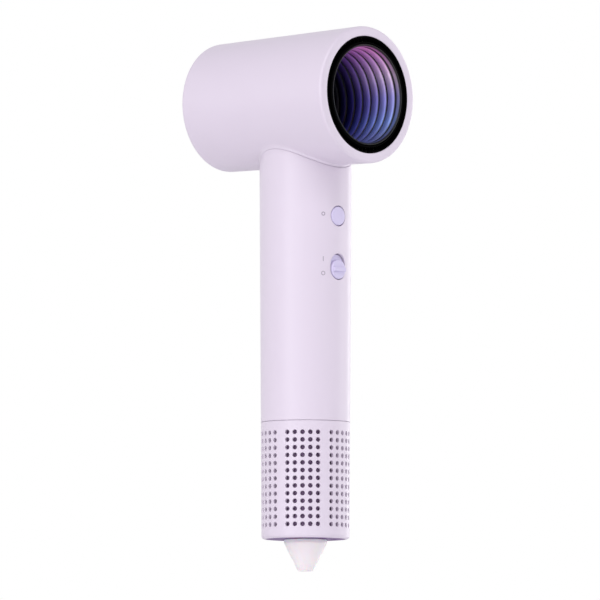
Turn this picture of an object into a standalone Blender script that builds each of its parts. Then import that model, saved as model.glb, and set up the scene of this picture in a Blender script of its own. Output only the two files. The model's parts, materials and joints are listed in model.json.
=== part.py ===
"""Travel hair dryer: a ring-outlet head on a round handle, built as separate pieces.

Metres, +Z up the handle's axis, and the air leaves along -Y. The origin is on the handle's axis,
in the middle of the grip. Pieces of the head are made in the head's own frame, whose +Z points
forward to the outlet and whose +Y points up; an empty turns that frame into place.
"""

import math

import bmesh
import bpy
from mathutils import Matrix

# ---- driving dimensions ---------------------------------------------------------------------
GAP = 0.0003                    # between pieces that touch
SLIDE_GAP = 0.0006              # round pieces that slide past each other

HEAD_LENGTH = 0.0880
HEAD_FRONT_RADIUS = 0.0308
HEAD_REAR_RADIUS = 0.0291
HEAD_WALL = 0.0018
HEAD_EDGE = 0.0015              # rounding of the head's two outer edges
FRONT_OVERHANG = 0.0382         # handle axis to the front face
GRIP_BELOW_HEAD = 0.0854        # head axis down to the origin

FRONT_RIM = 0.0044              # width of the flat front face
OUTLET_SLOT = 0.0038            # width of the annular air slot
OUTLET_DEPTH = 0.0060           # length of the collar behind the front face
COLLAR_WALL = 0.0012
BORE_WALL = 0.0008
BORE_LIP_EDGE = 0.0004          # thickness of the bore's lip at the front face
BORE_LIP_LENGTH = 0.0032
RIB_HEIGHT = 0.0010
RIB_PITCH = 0.0050
GRILLE_VANES = 20
GRILLE_INSET = 0.0002           # front face back to the grille's two walls
VANES_BACK = 0.0032             # front face back to its vanes

NECK_HEIGHT = 0.0010            # the head's own neck, between it and the handle's seam
SPIGOT_DEPTH = 0.0120           # how far the head's spigot reaches into the handle
SPIGOT_WALL = 0.0016
SEAL_THICKNESS = 0.0020
BULKHEAD_THICKNESS = 0.0016

HANDLE_LENGTH = 0.1679          # underside of the head to the bottom of the sleeve
HANDLE_TOP_RADIUS = 0.0207
HANDLE_END_RADIUS = 0.0198
HANDLE_WALL = 0.0018
SLEEVE_LENGTH = 0.0525
SEAM_EDGE = 0.0003              # small bevel on each side of the sleeve's seam

BUTTON_BELOW_HEAD = 0.0234      # underside of the head to the mode button's centre
BUTTON_RADIUS = 0.00435
BUTTON_TRAVEL = 0.0006
KNOB_BELOW_HEAD = 0.0475        # underside of the head to the knob's centre, switched off
KNOB_RADIUS = 0.00435
KNOB_TRAVEL = 0.0025
KNOB_PROUD = 0.0003
GRIP_RIB_PROUD = 0.0008
WELL_DEPTH = 0.0014
SWITCH_POCKET = 0.0071          # depth of the room for the switches inside the handle's wall
DUCT_WALL = 0.0012
BOARD_THICKNESS = 0.0010
BOARD_WIDTH = 0.0180

MOTOR_RADIUS = 0.0139
MOTOR_LENGTH = 0.0240
MOTOR_LIFT = 0.0022             # sleeve's seam up to the motor
MOTOR_HUB_RADIUS = 0.0084
SHAFT_RADIUS = 0.0010
BLADE_COUNT = 13
VANE_COUNT = 7

SLOT_WIDTH = 0.0021             # air slots in the sleeve
SLOT_GROUPS = 6
SLOTS_IN_GROUP = 5
SLOT_STEP = math.radians(10.2)
SLOT_PHASE = math.radians(9.4)  # first group's centre, from the front
SLOTS_FROM_TOP = 0.0030
SLOTS_FROM_BOTTOM = 0.0052
SLEEVE_CHAMFER = 0.0014
FILTER_WALL = 0.0004
CAGE_WALL = 0.0014
CAGE_FLOOR = 0.0020
CAGE_FLOOR_BORE = 0.0110

BASE_THICKNESS = 0.0024
CONE_BASE_RADIUS = 0.0096
CONE_TIP_RADIUS = 0.0034
CONE_LENGTH = 0.0143
CONE_STRAIGHT = 0.0018
CONE_NECK_RADIUS = 0.0067
CORD_HOLE_RADIUS = 0.0024
LEAD_RADIUS = 0.00045

SCREW_RADIUS = 0.0008
SCREW_HEAD_RADIUS = 0.0016
SCREW_HEAD_HEIGHT = 0.0009

COVER_THICKNESS = 0.0016
BOARD_POST = 0.0024             # height of the rear cover's posts above the cover
PARTS_HEIGHT = 0.0080           # tallest component on the rear board

FINE, MEDIUM, COARSE, SMALL = 48, 32, 24, 12    # sides of round pieces, by size

# ---- places worked out from them ------------------------------------------------------------
TAU = 2.0 * math.pi
FRONT = FRONT_OVERHANG
REAR = FRONT_OVERHANG - HEAD_LENGTH
HEAD_Z = GRIP_BELOW_HEAD
FACING_FRONT = (math.pi / 2.0, 0.0, 0.0)    # turns +Z to the front and +Y up


def head_radius(ahead):
    """Outer radius of the head at a distance ahead of the handle's axis."""
    share = (FRONT - ahead) / HEAD_LENGTH
    return HEAD_FRONT_RADIUS + (HEAD_REAR_RADIUS - HEAD_FRONT_RADIUS) * share


def head_bore(ahead):
    """Inner radius of the head's wall at a distance ahead of the handle's axis."""
    return head_radius(ahead) - HEAD_WALL


UNDERSIDE_Z = HEAD_Z - head_radius(0.0)
BOTTOM_Z = UNDERSIDE_Z - HANDLE_LENGTH
SEAM_Z = BOTTOM_Z + SLEEVE_LENGTH
BUTTON_Z = UNDERSIDE_Z - BUTTON_BELOW_HEAD
KNOB_Z = UNDERSIDE_Z - KNOB_BELOW_HEAD
SPIGOT_Z = UNDERSIDE_Z - SPIGOT_DEPTH
MOTOR_Z = SEAM_Z + MOTOR_LIFT


def handle_radius(height):
    """Outer radius of the handle at a height."""
    share = (UNDERSIDE_Z - height) / HANDLE_LENGTH
    return HANDLE_TOP_RADIUS + (HANDLE_END_RADIUS - HANDLE_TOP_RADIUS) * share


def handle_bore(height):
    """Inner radius of the handle's wall at a height."""
    return handle_radius(height) - HANDLE_WALL


SLOT_OUTER = HEAD_FRONT_RADIUS - FRONT_RIM
BORE_LIP_RADIUS = SLOT_OUTER - OUTLET_SLOT
GROOVE_RADIUS = BORE_LIP_RADIUS - BORE_LIP_EDGE
CREST_RADIUS = GROOVE_RADIUS - RIB_HEIGHT
BORE_OUTER = GROOVE_RADIUS + BORE_WALL
SPIGOT_RADIUS = handle_bore(UNDERSIDE_Z) - SLIDE_GAP
NECK_RADIUS = SPIGOT_RADIUS - SPIGOT_WALL
BULKHEAD_FRONT = -NECK_RADIUS - 0.0010
BORE_REAR = BULKHEAD_FRONT - BULKHEAD_THICKNESS - 0.0008
RIB_COUNT = int((FRONT - BORE_LIP_LENGTH - BORE_REAR) / RIB_PITCH)
COVER_RADIUS = head_bore(REAR) - GAP
REAR_BOARD_RADIUS = COVER_RADIUS - 0.0040
REAR_BOARD_BACK = REAR + COVER_THICKNESS + BOARD_POST + GAP
REAR_BOARD_FRONT = REAR_BOARD_BACK + 0.0012
REAR_SCREW_CIRCLE = REAR_BOARD_RADIUS - 0.0044

DUCT_RADIUS = handle_bore(SEAM_Z) - 2.0 * SLIDE_GAP
DUCT_FLAT = handle_bore(KNOB_Z) - SWITCH_POCKET
DUCT_TOP_Z = SPIGOT_Z - SEAL_THICKNESS - 2.0 * GAP
DUCT_BOTTOM_Z = MOTOR_Z + MOTOR_LENGTH + 2.0 * GAP
BOARD_FRONT = DUCT_FLAT + GAP + BOARD_THICKNESS
BOARD_BOTTOM_Z = KNOB_Z - 0.0090

SLEEVE_BORE = HANDLE_END_RADIUS - HANDLE_WALL
FILTER_RADIUS = SLEEVE_BORE - SLIDE_GAP
CAGE_RADIUS = FILTER_RADIUS - FILTER_WALL - GAP
CAGE_BORE = CAGE_RADIUS - CAGE_WALL
CAGE_FLOOR_Z = BOTTOM_Z + BASE_THICKNESS + GAP
CAGE_FLOOR_TOP = CAGE_FLOOR_Z + CAGE_FLOOR
CLAMP_Z = CAGE_FLOOR_TOP + GAP
CLAMP_TOP = CLAMP_Z + 0.0026
SCREW_CIRCLE = (CAGE_FLOOR_BORE + CAGE_BORE) / 2.0
LEAD_CIRCLE = (MOTOR_RADIUS + CAGE_BORE) / 2.0
LEAD_LANE = max(LEAD_CIRCLE, DUCT_FLAT + GAP + LEAD_RADIUS)     # in front of the duct's flat
THREE_WAYS = [math.radians(angle) for angle in (90.0, 210.0, 330.0)]

# Colour, roughness and metallic of each finish
FINISHES = {
    "lilac_plastic": ((0.79, 0.70, 0.80), 0.42, 0.0),
    "violet_plastic": ((0.63, 0.58, 0.76), 0.30, 0.0),
    "plum_plastic": ((0.29, 0.18, 0.32), 0.45, 0.0),
    "black_plastic": ((0.012, 0.010, 0.012), 0.35, 0.0),
    "grey_plastic": ((0.18, 0.18, 0.19), 0.50, 0.0),
    "bore_metal": ((0.42, 0.30, 0.68), 0.25, 0.9),
    "frosted_rubber": ((0.78, 0.76, 0.79), 0.50, 0.0),
    "black_rubber": ((0.02, 0.02, 0.02), 0.80, 0.0),
    "steel": ((0.60, 0.60, 0.62), 0.30, 1.0),
    "aluminium": ((0.75, 0.76, 0.78), 0.35, 1.0),
    "copper": ((0.72, 0.34, 0.18), 0.35, 1.0),
    "magnet": ((0.30, 0.30, 0.33), 0.35, 1.0),
    "mica": ((0.55, 0.48, 0.36), 0.60, 0.0),
    "circuit_board": ((0.02, 0.16, 0.08), 0.45, 0.0),
}


# ---- modelling helpers ----------------------------------------------------------------------
def place(name, data, finish, parent=None, location=(0.0, 0.0, 0.0), rotation=(0.0, 0.0, 0.0)):
    """Make the named object of a mesh or curve, with its own material."""
    colour, roughness, metallic = FINISHES[finish]
    material = bpy.data.materials.new(f"{name}_{finish}")
    material.use_nodes = True
    shader = material.node_tree.nodes["Principled BSDF"]
    shader.inputs["Base Color"].default_value = (*colour, 1.0)
    shader.inputs["Roughness"].default_value = roughness
    shader.inputs["Metallic"].default_value = metallic
    data.materials.append(material)
    piece = bpy.data.objects.new(name, data)
    bpy.context.collection.objects.link(piece)
    piece.location = location
    piece.rotation_euler = rotation
    piece.parent = parent
    return piece


def finish_mesh(name, shape):
    """Merge what meets, turn the faces outward, shade round faces smooth, and return the mesh."""
    bmesh.ops.remove_doubles(shape, verts=shape.verts, dist=1e-7)
    bmesh.ops.recalc_face_normals(shape, faces=shape.faces)
    mesh = bpy.data.meshes.new(name)
    shape.to_mesh(mesh)
    shape.free()
    mesh.shade_smooth()
    mesh.set_sharp_from_angle(angle=math.radians(35.0))
    return mesh


def turned(name, outline, steps, closed=True):
    """Turn an outline of (radius, height) points about Z. An open one runs from axis to axis."""
    shape = bmesh.new()
    corners = [shape.verts.new((radius, 0.0, height)) for radius, height in outline]
    sides = [shape.edges.new(pair) for pair in zip(corners, corners[1:])]
    if closed:
        sides.append(shape.edges.new((corners[-1], corners[0])))
    bmesh.ops.spin(shape, geom=corners + sides, cent=(0.0, 0.0, 0.0), axis=(0.0, 0.0, 1.0),
                   dvec=(0.0, 0.0, 0.0), angle=TAU, steps=steps, use_merge=True)
    return finish_mesh(name, shape)


def ring(name, inner, outer, low, high, steps, bevel=0.0):
    """A plain ring about Z, with its outer edges bevelled when a bevel is given."""
    outline = [(inner, low), (outer - bevel, low), (outer, low + bevel),
               (outer, high - bevel), (outer - bevel, high), (inner, high)]
    if bevel == 0.0:
        outline = [(inner, low), (outer, low), (outer, high), (inner, high)]
    return turned(name, outline, steps)


def rod(name, radius, low, high, steps, bevel=0.0):
    """A solid round piece about Z, with its edges bevelled when a bevel is given."""
    outline = [(0.0, low), (radius - bevel, low), (radius, low + bevel),
               (radius, high - bevel), (radius - bevel, high), (0.0, high)]
    if bevel == 0.0:
        outline = [(0.0, low), (radius, low), (radius, high), (0.0, high)]
    return turned(name, outline, steps, closed=False)


def prism(name, outline, low, high, hole=None):
    """Carry an (x, y) outline along Z. A hole has as many points as the outline."""
    shape = bmesh.new()
    loops = []
    for points in [outline, hole] if hole else [outline]:
        for height in (low, high):
            loops.append([shape.verts.new((x, y, height)) for x, y in points])
    pairs = [(index, (index + 1) % len(outline)) for index in range(len(outline))]
    walls = [(start, start + 1) for start in range(0, len(loops), 2)]
    ends = [(0, 2), (1, 3)] if hole else []
    for first, second in walls + ends:
        for here, there in pairs:
            shape.faces.new((loops[first][here], loops[first][there],
                             loops[second][there], loops[second][here]))
    if not hole:
        shape.faces.new(loops[0])
        shape.faces.new(loops[1])
    return finish_mesh(name, shape)


def block(name, low, high, twist=0.0):
    """A box between two corners, its top turned about Z by the twist."""
    (left, near, bottom), (right, far, top) = low, high
    shape = bmesh.new()
    mesh = prism(name, [(left, near), (right, near), (right, far), (left, far)], bottom, top)
    shape.from_mesh(mesh)
    upper = [corner for corner in shape.verts if corner.co.z > (bottom + top) / 2.0]
    bmesh.ops.rotate(shape, verts=upper, cent=(0.0, 0.0, 0.0), matrix=Matrix.Rotation(twist, 3, "Z"))
    if twist:
        bmesh.ops.triangulate(shape, faces=shape.faces)
    return finish_mesh(name, shape)


def arc(centre_x, centre_y, radius, start, end, steps):
    """Points on an arc, angles in degrees."""
    angles = [math.radians(start + (end - start) * step / steps) for step in range(steps + 1)]
    return [(centre_x + radius * math.cos(angle), centre_y + radius * math.sin(angle))
            for angle in angles]


def obround(radius, straight, steps=10):
    """Outline of a slot with round ends. Its lower centre is the origin, and it stands along y."""
    return arc(0.0, 0.0, radius, -180.0, 0.0, steps) + arc(0.0, straight, radius, 0.0, 180.0, steps)


def spread(name, mesh, angles):
    """One mesh holding a copy of a mesh at each angle about Z."""
    shape = bmesh.new()
    for angle in angles:
        before = len(shape.verts)
        shape.from_mesh(mesh)
        shape.verts.ensure_lookup_table()
        bmesh.ops.rotate(shape, verts=shape.verts[before:], cent=(0.0, 0.0, 0.0),
                         matrix=Matrix.Rotation(angle, 3, "Z"))
    spread_mesh = bpy.data.meshes.new(name)
    shape.to_mesh(spread_mesh)
    shape.free()
    return spread_mesh


def around(count, start=0.0):
    """Evenly spread angles about a circle."""
    return [start + TAU * index / count for index in range(count)]


def shift(mesh, x, y, z=0.0):
    """Move a mesh and return it."""
    mesh.transform(Matrix.Translation((x, y, z)))
    return mesh


def work(piece, operation, tool_mesh, frame=None):
    """Add a tool to a piece or cut it away. The tool stands in the piece's frame, or in `frame`."""
    tool = bpy.data.objects.new(f"{piece.name}_tool_{len(piece.modifiers)}", tool_mesh)
    bpy.context.collection.objects.link(tool)
    if frame is None:
        tool.location = piece.location
        tool.rotation_euler = piece.rotation_euler
        tool.parent = piece.parent
    else:
        tool.parent = frame
    tool.hide_render = True
    tool.display_type = "WIRE"
    modifier = piece.modifiers.new(tool.name, "BOOLEAN")
    modifier.solver = "EXACT"
    modifier.operation = operation
    modifier.object = tool


def wire(name, points, radius, finish, parent=None):
    """A round wire along a list of points."""
    curve = bpy.data.curves.new(name, "CURVE")
    curve.dimensions = "3D"
    curve.bevel_depth = radius
    curve.bevel_resolution = 1
    curve.use_fill_caps = True
    spline = curve.splines.new("POLY")
    spline.points.add(len(points) - 1)
    for spline_point, point in zip(spline.points, points):
        spline_point.co = (*point, 1.0)
    return place(name, curve, finish, parent)


def frame_empty(name, location, rotation):
    """An empty whose axes are the frame of the pieces made in it."""
    empty = bpy.data.objects.new(name, None)
    bpy.context.collection.objects.link(empty)
    empty.location = location
    empty.rotation_euler = rotation
    return empty


def screw(name, x, y, head_face, length, parent=None, facing_down=False):
    """A pan-head screw along Z. Its head's underside is at `head_face`, and the shank points away."""
    way = 1.0 if facing_down else -1.0
    outline = [(0.0, length * way), (SCREW_RADIUS, (length - 0.0003) * way), (SCREW_RADIUS, 0.0),
               (SCREW_HEAD_RADIUS, 0.0), (SCREW_HEAD_RADIUS, -0.6 * SCREW_HEAD_HEIGHT * way),
               (0.7 * SCREW_HEAD_RADIUS, -SCREW_HEAD_HEIGHT * way), (0.0, -SCREW_HEAD_HEIGHT * way)]
    mesh = turned(name, outline, 8, closed=False)
    return place(name, shift(mesh, x, y, head_face), "steel", parent)


# ---- head -----------------------------------------------------------------------------------
def add_head_shell(head, world):
    """One moulding: the round casing, its rolled front rim, and the spigot that enters the handle."""
    outer = [(0.0, REAR)]
    outer += arc(HEAD_REAR_RADIUS - HEAD_EDGE, REAR + HEAD_EDGE, HEAD_EDGE, -90.0, 0.0, 4)
    outer += arc(HEAD_FRONT_RADIUS - HEAD_EDGE, FRONT - HEAD_EDGE, HEAD_EDGE, 0.0, 90.0, 4)
    outer += [(0.0, FRONT)]
    shell = place("head_shell", saddle_solid(NECK_HEIGHT), "lilac_plastic", head)
    work(shell, "INTERSECT", rod("head_neck", HANDLE_TOP_RADIUS, SPIGOT_Z, HEAD_Z, FINE), world)
    work(shell, "UNION", turned("head_outside", outer, FINE, closed=False))
    beyond = 0.01
    collar = SLOT_OUTER + COLLAR_WALL
    inside = [(0.0, REAR - beyond), (head_bore(REAR), REAR - beyond), (head_bore(REAR), REAR),
              (head_bore(FRONT - HEAD_WALL), FRONT - HEAD_WALL), (collar, FRONT - HEAD_WALL),
              (collar, FRONT - OUTLET_DEPTH), (SLOT_OUTER, FRONT - OUTLET_DEPTH),
              (SLOT_OUTER, FRONT + beyond), (0.0, FRONT + beyond)]
    work(shell, "UNION", rod("spigot", SPIGOT_RADIUS, SPIGOT_Z, HEAD_Z, MEDIUM), world)
    work(shell, "DIFFERENCE", turned("head_inside", inside, FINE, closed=False))
    work(shell, "DIFFERENCE", rod("neck", NECK_RADIUS, SPIGOT_Z - beyond, HEAD_Z, MEDIUM), world)


def saddle_solid(clear):
    """A long solid in the head's frame, larger all round than the head by a clearance."""
    beyond = 0.01
    outline = [(0.0, REAR - beyond), (head_radius(REAR) + clear, REAR - beyond),
               (head_radius(FRONT) + clear, FRONT + beyond), (0.0, FRONT + beyond)]
    return turned("saddle_solid", outline, FINE, closed=False)


def add_outlet(head):
    """The black lining of the annular slot, with its vanes, and the steel ring for a nozzle."""
    face = FRONT - GRILLE_INSET
    high = FRONT - VANES_BACK
    low = FRONT - OUTLET_DEPTH + GAP
    rim = 0.0006
    outer = SLOT_OUTER - GAP
    inner = BORE_OUTER + GAP
    grille = place("outlet_grille", ring("grille_outer", outer - rim, outer, low, face, MEDIUM),
                   "black_plastic", head)
    vane = block("vane", (inner + rim / 2.0, -0.0003, low + 0.0004),
                 (outer - rim / 2.0, 0.0003, high - 0.0004))
    work(grille, "UNION", spread("vanes", vane, around(GRILLE_VANES)))
    work(grille, "UNION", ring("grille_inner", inner, inner + rim, low, face, MEDIUM))

    magnet_high = FRONT - HEAD_WALL - GAP
    place("magnet_ring", ring("magnet_ring", SLOT_OUTER + COLLAR_WALL + GAP,
                              head_bore(FRONT - OUTLET_DEPTH) - GAP,
                              magnet_high - 0.0030, magnet_high, MEDIUM), "steel", head)


def add_bore(head):
    """The ribbed blind bore inside the ring outlet, its end plate, and the ion emitter in it."""
    outline = [(BORE_LIP_RADIUS, FRONT), (BORE_OUTER, FRONT - 0.0015), (BORE_OUTER, BORE_REAR),
               (GROOVE_RADIUS, BORE_REAR)]
    first_groove = FRONT - BORE_LIP_LENGTH
    for index in range(RIB_COUNT, 0, -1):
        groove = first_groove - index * RIB_PITCH
        outline += [(GROOVE_RADIUS, groove), (CREST_RADIUS, groove + RIB_PITCH / 2.0)]
    lip_crest = (GROOVE_RADIUS + CREST_RADIUS) / 2.0
    outline += [(GROOVE_RADIUS, first_groove), (lip_crest, FRONT - BORE_LIP_LENGTH / 2.0),
                (GROOVE_RADIUS, FRONT)]
    place("bore_liner", turned("bore_liner", outline, COARSE), "bore_metal", head)

    plate_low = BORE_REAR + GAP
    plate_radius = CREST_RADIUS - GAP
    needle = 0.0020
    plate = [(needle + GAP, plate_low), (plate_radius, plate_low), (plate_radius, plate_low + 0.0010),
             (plate_radius * 0.6, plate_low + 0.0022), (needle + GAP, plate_low + 0.0028)]
    place("bore_end_plate", turned("bore_end_plate", plate, COARSE), "black_plastic", head)
    back = plate_low - GAP
    emitter = [(0.0, back - 0.0010), (0.0032, back - 0.0010), (0.0032, back), (needle, back),
               (needle, back + 0.0045), (0.0005, back + 0.0060), (0.0, back + 0.0060)]
    place("ion_emitter", turned("ion_emitter", emitter, SMALL, closed=False), "steel", head)


def add_heater(head):
    """A coil of resistance wire on a mica former around the bore, with its sleeve and its sensors."""
    high = FRONT - OUTLET_DEPTH - GAP
    low = NECK_RADIUS + 0.0010
    former_inner = BORE_OUTER + GAP
    former_outer = former_inner + 0.0005
    place("heater_former", ring("heater_former", former_inner, former_outer, low, high, MEDIUM), "mica",
          head)
    place("heater_sleeve", ring("heater_sleeve", SLOT_OUTER, SLOT_OUTER + 0.0005, low, high, MEDIUM),
          "mica", head)

    wire_radius = 0.0005
    coil_radius = former_outer + 2.0 * GAP + wire_radius
    pitch = 0.0036
    margin = 2.0 * wire_radius + GAP
    turns = (high - low - 2.0 * margin) / pitch
    steps = int(turns * COARSE)
    coil = []
    for step in range(steps + 1):
        angle = TAU * turns * step / steps
        coil.append((coil_radius * math.cos(angle), coil_radius * math.sin(angle),
                     low + margin + pitch * angle / TAU))
    wire("heater_coil", coil, wire_radius, "steel", head)

    middle = (BORE_OUTER + head_bore(0.0)) / 2.0
    place("thermal_fuse", shift(rod("fuse", 0.0013, 0.0040, 0.0120, 14, 0.0003), 0.0, middle),
          "steel", head)
    side = math.radians(60.0)
    place("temperature_sensor", shift(rod("sensor", 0.0011, 0.0060, 0.0105, 12, 0.0005),
                                      middle * math.cos(side), middle * math.sin(side)),
          "black_plastic", head)
    bulkhead = ring("bulkhead", BORE_OUTER + GAP, head_bore(BULKHEAD_FRONT) - 2.0 * GAP,
                    BULKHEAD_FRONT - BULKHEAD_THICKNESS, BULKHEAD_FRONT, MEDIUM)
    place("air_bulkhead", bulkhead, "grey_plastic", head)


def add_rear(head):
    """The snap-in rear cover with its gasket, and the supply board that stands on its posts."""
    step = COVER_RADIUS - 0.0018
    inner = COVER_RADIUS - 0.0030
    back = REAR + COVER_THICKNESS
    outline = [(0.0, REAR), (COVER_RADIUS - SEAM_EDGE, REAR), (COVER_RADIUS, REAR + SEAM_EDGE),
               (COVER_RADIUS, back), (step, back), (step, back + 0.0018), (inner, back + 0.0018),
               (inner, back), (0.0, back)]
    cover = place("rear_cover", turned("rear_cover", outline, FINE, closed=False), "lilac_plastic", head)
    post = shift(rod("post", 0.0023, back - 0.0004, back + BOARD_POST, 12), REAR_SCREW_CIRCLE, 0.0)
    hole = shift(rod("post_hole", SCREW_RADIUS + GAP, back + 0.0002, back + BOARD_POST + 0.001, 8),
                 REAR_SCREW_CIRCLE, 0.0)
    work(cover, "UNION", spread("posts", post, THREE_WAYS))
    work(cover, "DIFFERENCE", spread("post_holes", hole, THREE_WAYS))
    place("rear_gasket", ring("rear_gasket", step + GAP, COVER_RADIUS, back + GAP, back + 0.0017,
                              COARSE, 0.0003), "black_rubber", head)

    board = place("supply_board", rod("supply_board", REAR_BOARD_RADIUS, REAR_BOARD_BACK,
                                      REAR_BOARD_FRONT, MEDIUM), "circuit_board", head)
    drill = shift(rod("drill", SCREW_RADIUS + GAP, REAR_BOARD_BACK - 0.001, REAR_BOARD_FRONT + 0.001,
                      8), REAR_SCREW_CIRCLE, 0.0)
    work(board, "DIFFERENCE", spread("drills", drill, THREE_WAYS))
    for number, angle in enumerate(THREE_WAYS, 1):
        screw(f"supply_board_screw_{number}", REAR_SCREW_CIRCLE * math.cos(angle),
              REAR_SCREW_CIRCLE * math.sin(angle), REAR_BOARD_FRONT + GAP, 0.0034, head)

    seat = REAR_BOARD_FRONT + GAP
    can_radius = PARTS_HEIGHT / 2.0
    place("smoothing_capacitor", rod("capacitor", can_radius, -0.0070, 0.0070, SMALL, 0.0005),
          "black_plastic", head, (0.0, 0.0075, seat + can_radius), (0.0, math.pi / 2.0, 0.0))
    place("ion_generator", block("ion_generator", (-0.0125, -0.0135, seat),
                                 (0.0030, -0.0030, seat + PARTS_HEIGHT)), "grey_plastic", head)
    fins = [(0.0048, 0.0), (0.0130, 0.0)]
    fin_count = 4
    pitch = 0.0082 / (2.0 * fin_count - 1.0)
    for index in range(fin_count):
        right = 0.0130 - 2.0 * index * pitch
        top = PARTS_HEIGHT * 0.8
        fins += [(right, top), (right - pitch, top)]
        if index < fin_count - 1:
            fins += [(right - pitch, 0.0015), (right - 2.0 * pitch, 0.0015)]
    place("heat_sink", prism("heat_sink", fins, 0.0, 0.0090), "aluminium", head,
          (0.0, -0.0030, seat), FACING_FRONT)


# ---- handle ---------------------------------------------------------------------------------
def add_handle_shell(head):
    """The handle's tube. Its top follows the head, and its front holds the two switches."""
    low = SEAM_Z + GAP / 2.0
    outline = [(handle_bore(low), low), (handle_radius(low) - SEAM_EDGE, low),
               (handle_radius(low), low + SEAM_EDGE), (handle_radius(HEAD_Z), HEAD_Z),
               (handle_bore(HEAD_Z), HEAD_Z)]
    shell = place("handle_shell", turned("handle_shell", outline, FINE), "lilac_plastic")
    beyond = 0.01
    work(shell, "DIFFERENCE", saddle_solid(NECK_HEIGHT + GAP), head)
    hole = rod("button_hole", BUTTON_RADIUS + GAP, 0.0, HANDLE_TOP_RADIUS + beyond, 32)
    window = prism("knob_window", obround(KNOB_RADIUS + GAP, KNOB_TRAVEL, 14), 0.0,
                   HANDLE_TOP_RADIUS + beyond)
    work(shell, "DIFFERENCE", hole, frame_empty("button_frame", (0.0, 0.0, BUTTON_Z), FACING_FRONT))
    work(shell, "DIFFERENCE", window, frame_empty("knob_frame", (0.0, 0.0, KNOB_Z), FACING_FRONT))
    place("neck_seal", ring("neck_seal", NECK_RADIUS, SPIGOT_RADIUS, SPIGOT_Z - GAP - SEAL_THICKNESS,
                            SPIGOT_Z - GAP, COARSE, 0.0004), "black_rubber")


def duct_outline(radius, flat):
    """A circle with its front cut off flat."""
    tilt = math.degrees(math.asin(flat / radius))
    return arc(0.0, 0.0, radius, -tilt, 180.0 + tilt, COARSE)


def add_chassis():
    """The air duct up the handle, whose flat front carries the control board."""
    outline = duct_outline(DUCT_RADIUS, DUCT_FLAT)
    hole = duct_outline(DUCT_RADIUS - DUCT_WALL, DUCT_FLAT - DUCT_WALL)
    place("handle_chassis", prism("handle_chassis", outline, DUCT_BOTTOM_Z, DUCT_TOP_Z, hole),
          "grey_plastic")
    half = BOARD_WIDTH / 2.0
    top = min(BUTTON_Z + 0.0060, SPIGOT_Z - GAP)
    place("control_board", block("control_board", (-half, -BOARD_FRONT, BOARD_BOTTOM_Z),
                                 (half, -DUCT_FLAT - GAP, top)), "circuit_board")


def add_mode_button():
    """A round button pressed against a tact switch. It has a flange behind the handle's wall."""
    face = handle_radius(BUTTON_Z) - 0.00015
    flange_radius = BUTTON_RADIUS + 0.0009
    flange_front = math.sqrt(handle_bore(BUTTON_Z) ** 2 - flange_radius ** 2) - GAP
    flange_back = flange_front - 0.0009
    stem_end = flange_back - 0.0006
    edge = 0.0005
    outline = [(0.0, stem_end), (0.0015, stem_end), (0.0015, flange_back),
               (flange_radius, flange_back), (flange_radius, flange_front),
               (BUTTON_RADIUS, flange_front), (BUTTON_RADIUS, face - edge),
               (BUTTON_RADIUS - 0.3 * edge, face - 0.3 * edge), (BUTTON_RADIUS - edge, face),
               (0.0, face)]
    place("mode_button", turned("mode_button", outline, COARSE, closed=False), "violet_plastic",
          location=(0.0, 0.0, BUTTON_Z), rotation=FACING_FRONT)
    half = 0.0030
    switch_front = stem_end - BUTTON_TRAVEL - GAP
    place("tact_switch", block("tact_switch", (-half, -switch_front, BUTTON_Z - half),
                               (half, -BOARD_FRONT - GAP, BUTTON_Z + half)), "black_plastic")


def add_slide_switch():
    """The power knob in its oblong well, the carrier it pushes, and the switch on the board."""
    flange_radius = KNOB_RADIUS + 0.0016
    plate_front = math.sqrt(handle_bore(KNOB_Z) ** 2 - flange_radius ** 2) - GAP
    plate_back = plate_front - 0.0008
    boss_front = handle_radius(KNOB_Z) - WELL_DEPTH
    stem_x, stem_y = 0.0010, 0.0009
    origin = (0.0, 0.0, KNOB_Z)

    well = place("switch_well", prism("switch_well", obround(flange_radius, KNOB_TRAVEL), plate_back,
                                      plate_front), "violet_plastic", None, origin, FACING_FRONT)
    work(well, "UNION", prism("well_boss", obround(KNOB_RADIUS, KNOB_TRAVEL, 14),
                              plate_front - 0.0003, boss_front))
    work(well, "DIFFERENCE", block("well_slot", (-stem_x - GAP, -stem_y - GAP, plate_back - 0.001),
                                   (stem_x + GAP, stem_y + GAP + KNOB_TRAVEL, boss_front + 0.001)))

    knob_back = boss_front + GAP
    knob_front = handle_radius(KNOB_Z) + KNOB_PROUD
    stem_end = plate_back - GAP
    knob = place("power_knob", rod("power_knob", KNOB_RADIUS, knob_back, knob_front, 32, 0.0003),
                 "violet_plastic", None, origin, FACING_FRONT)
    grip = block("grip_rib", (-KNOB_RADIUS + 0.0006, -0.0009, knob_front - 0.0004),
                 (KNOB_RADIUS - 0.0006, 0.0009, knob_front + GRIP_RIB_PROUD))
    stem = block("knob_stem", (-stem_x, -stem_y, stem_end), (stem_x, stem_y, knob_back + 0.0003))
    work(knob, "UNION", grip)
    work(knob, "UNION", stem)

    carrier_front = stem_end - GAP
    carrier_back = carrier_front - 0.0008
    place("switch_carrier", block("switch_carrier", (-0.0042, -0.0030, carrier_back),
                                  (0.0042, 0.0030, carrier_front)), "black_plastic", None, origin,
          FACING_FRONT)
    place("slide_switch", block("slide_switch", (-0.0038, -0.0036, BOARD_FRONT + GAP),
                                (0.0038, 0.0036 + KNOB_TRAVEL, carrier_back - GAP)), "steel", None,
          origin, FACING_FRONT)


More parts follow.
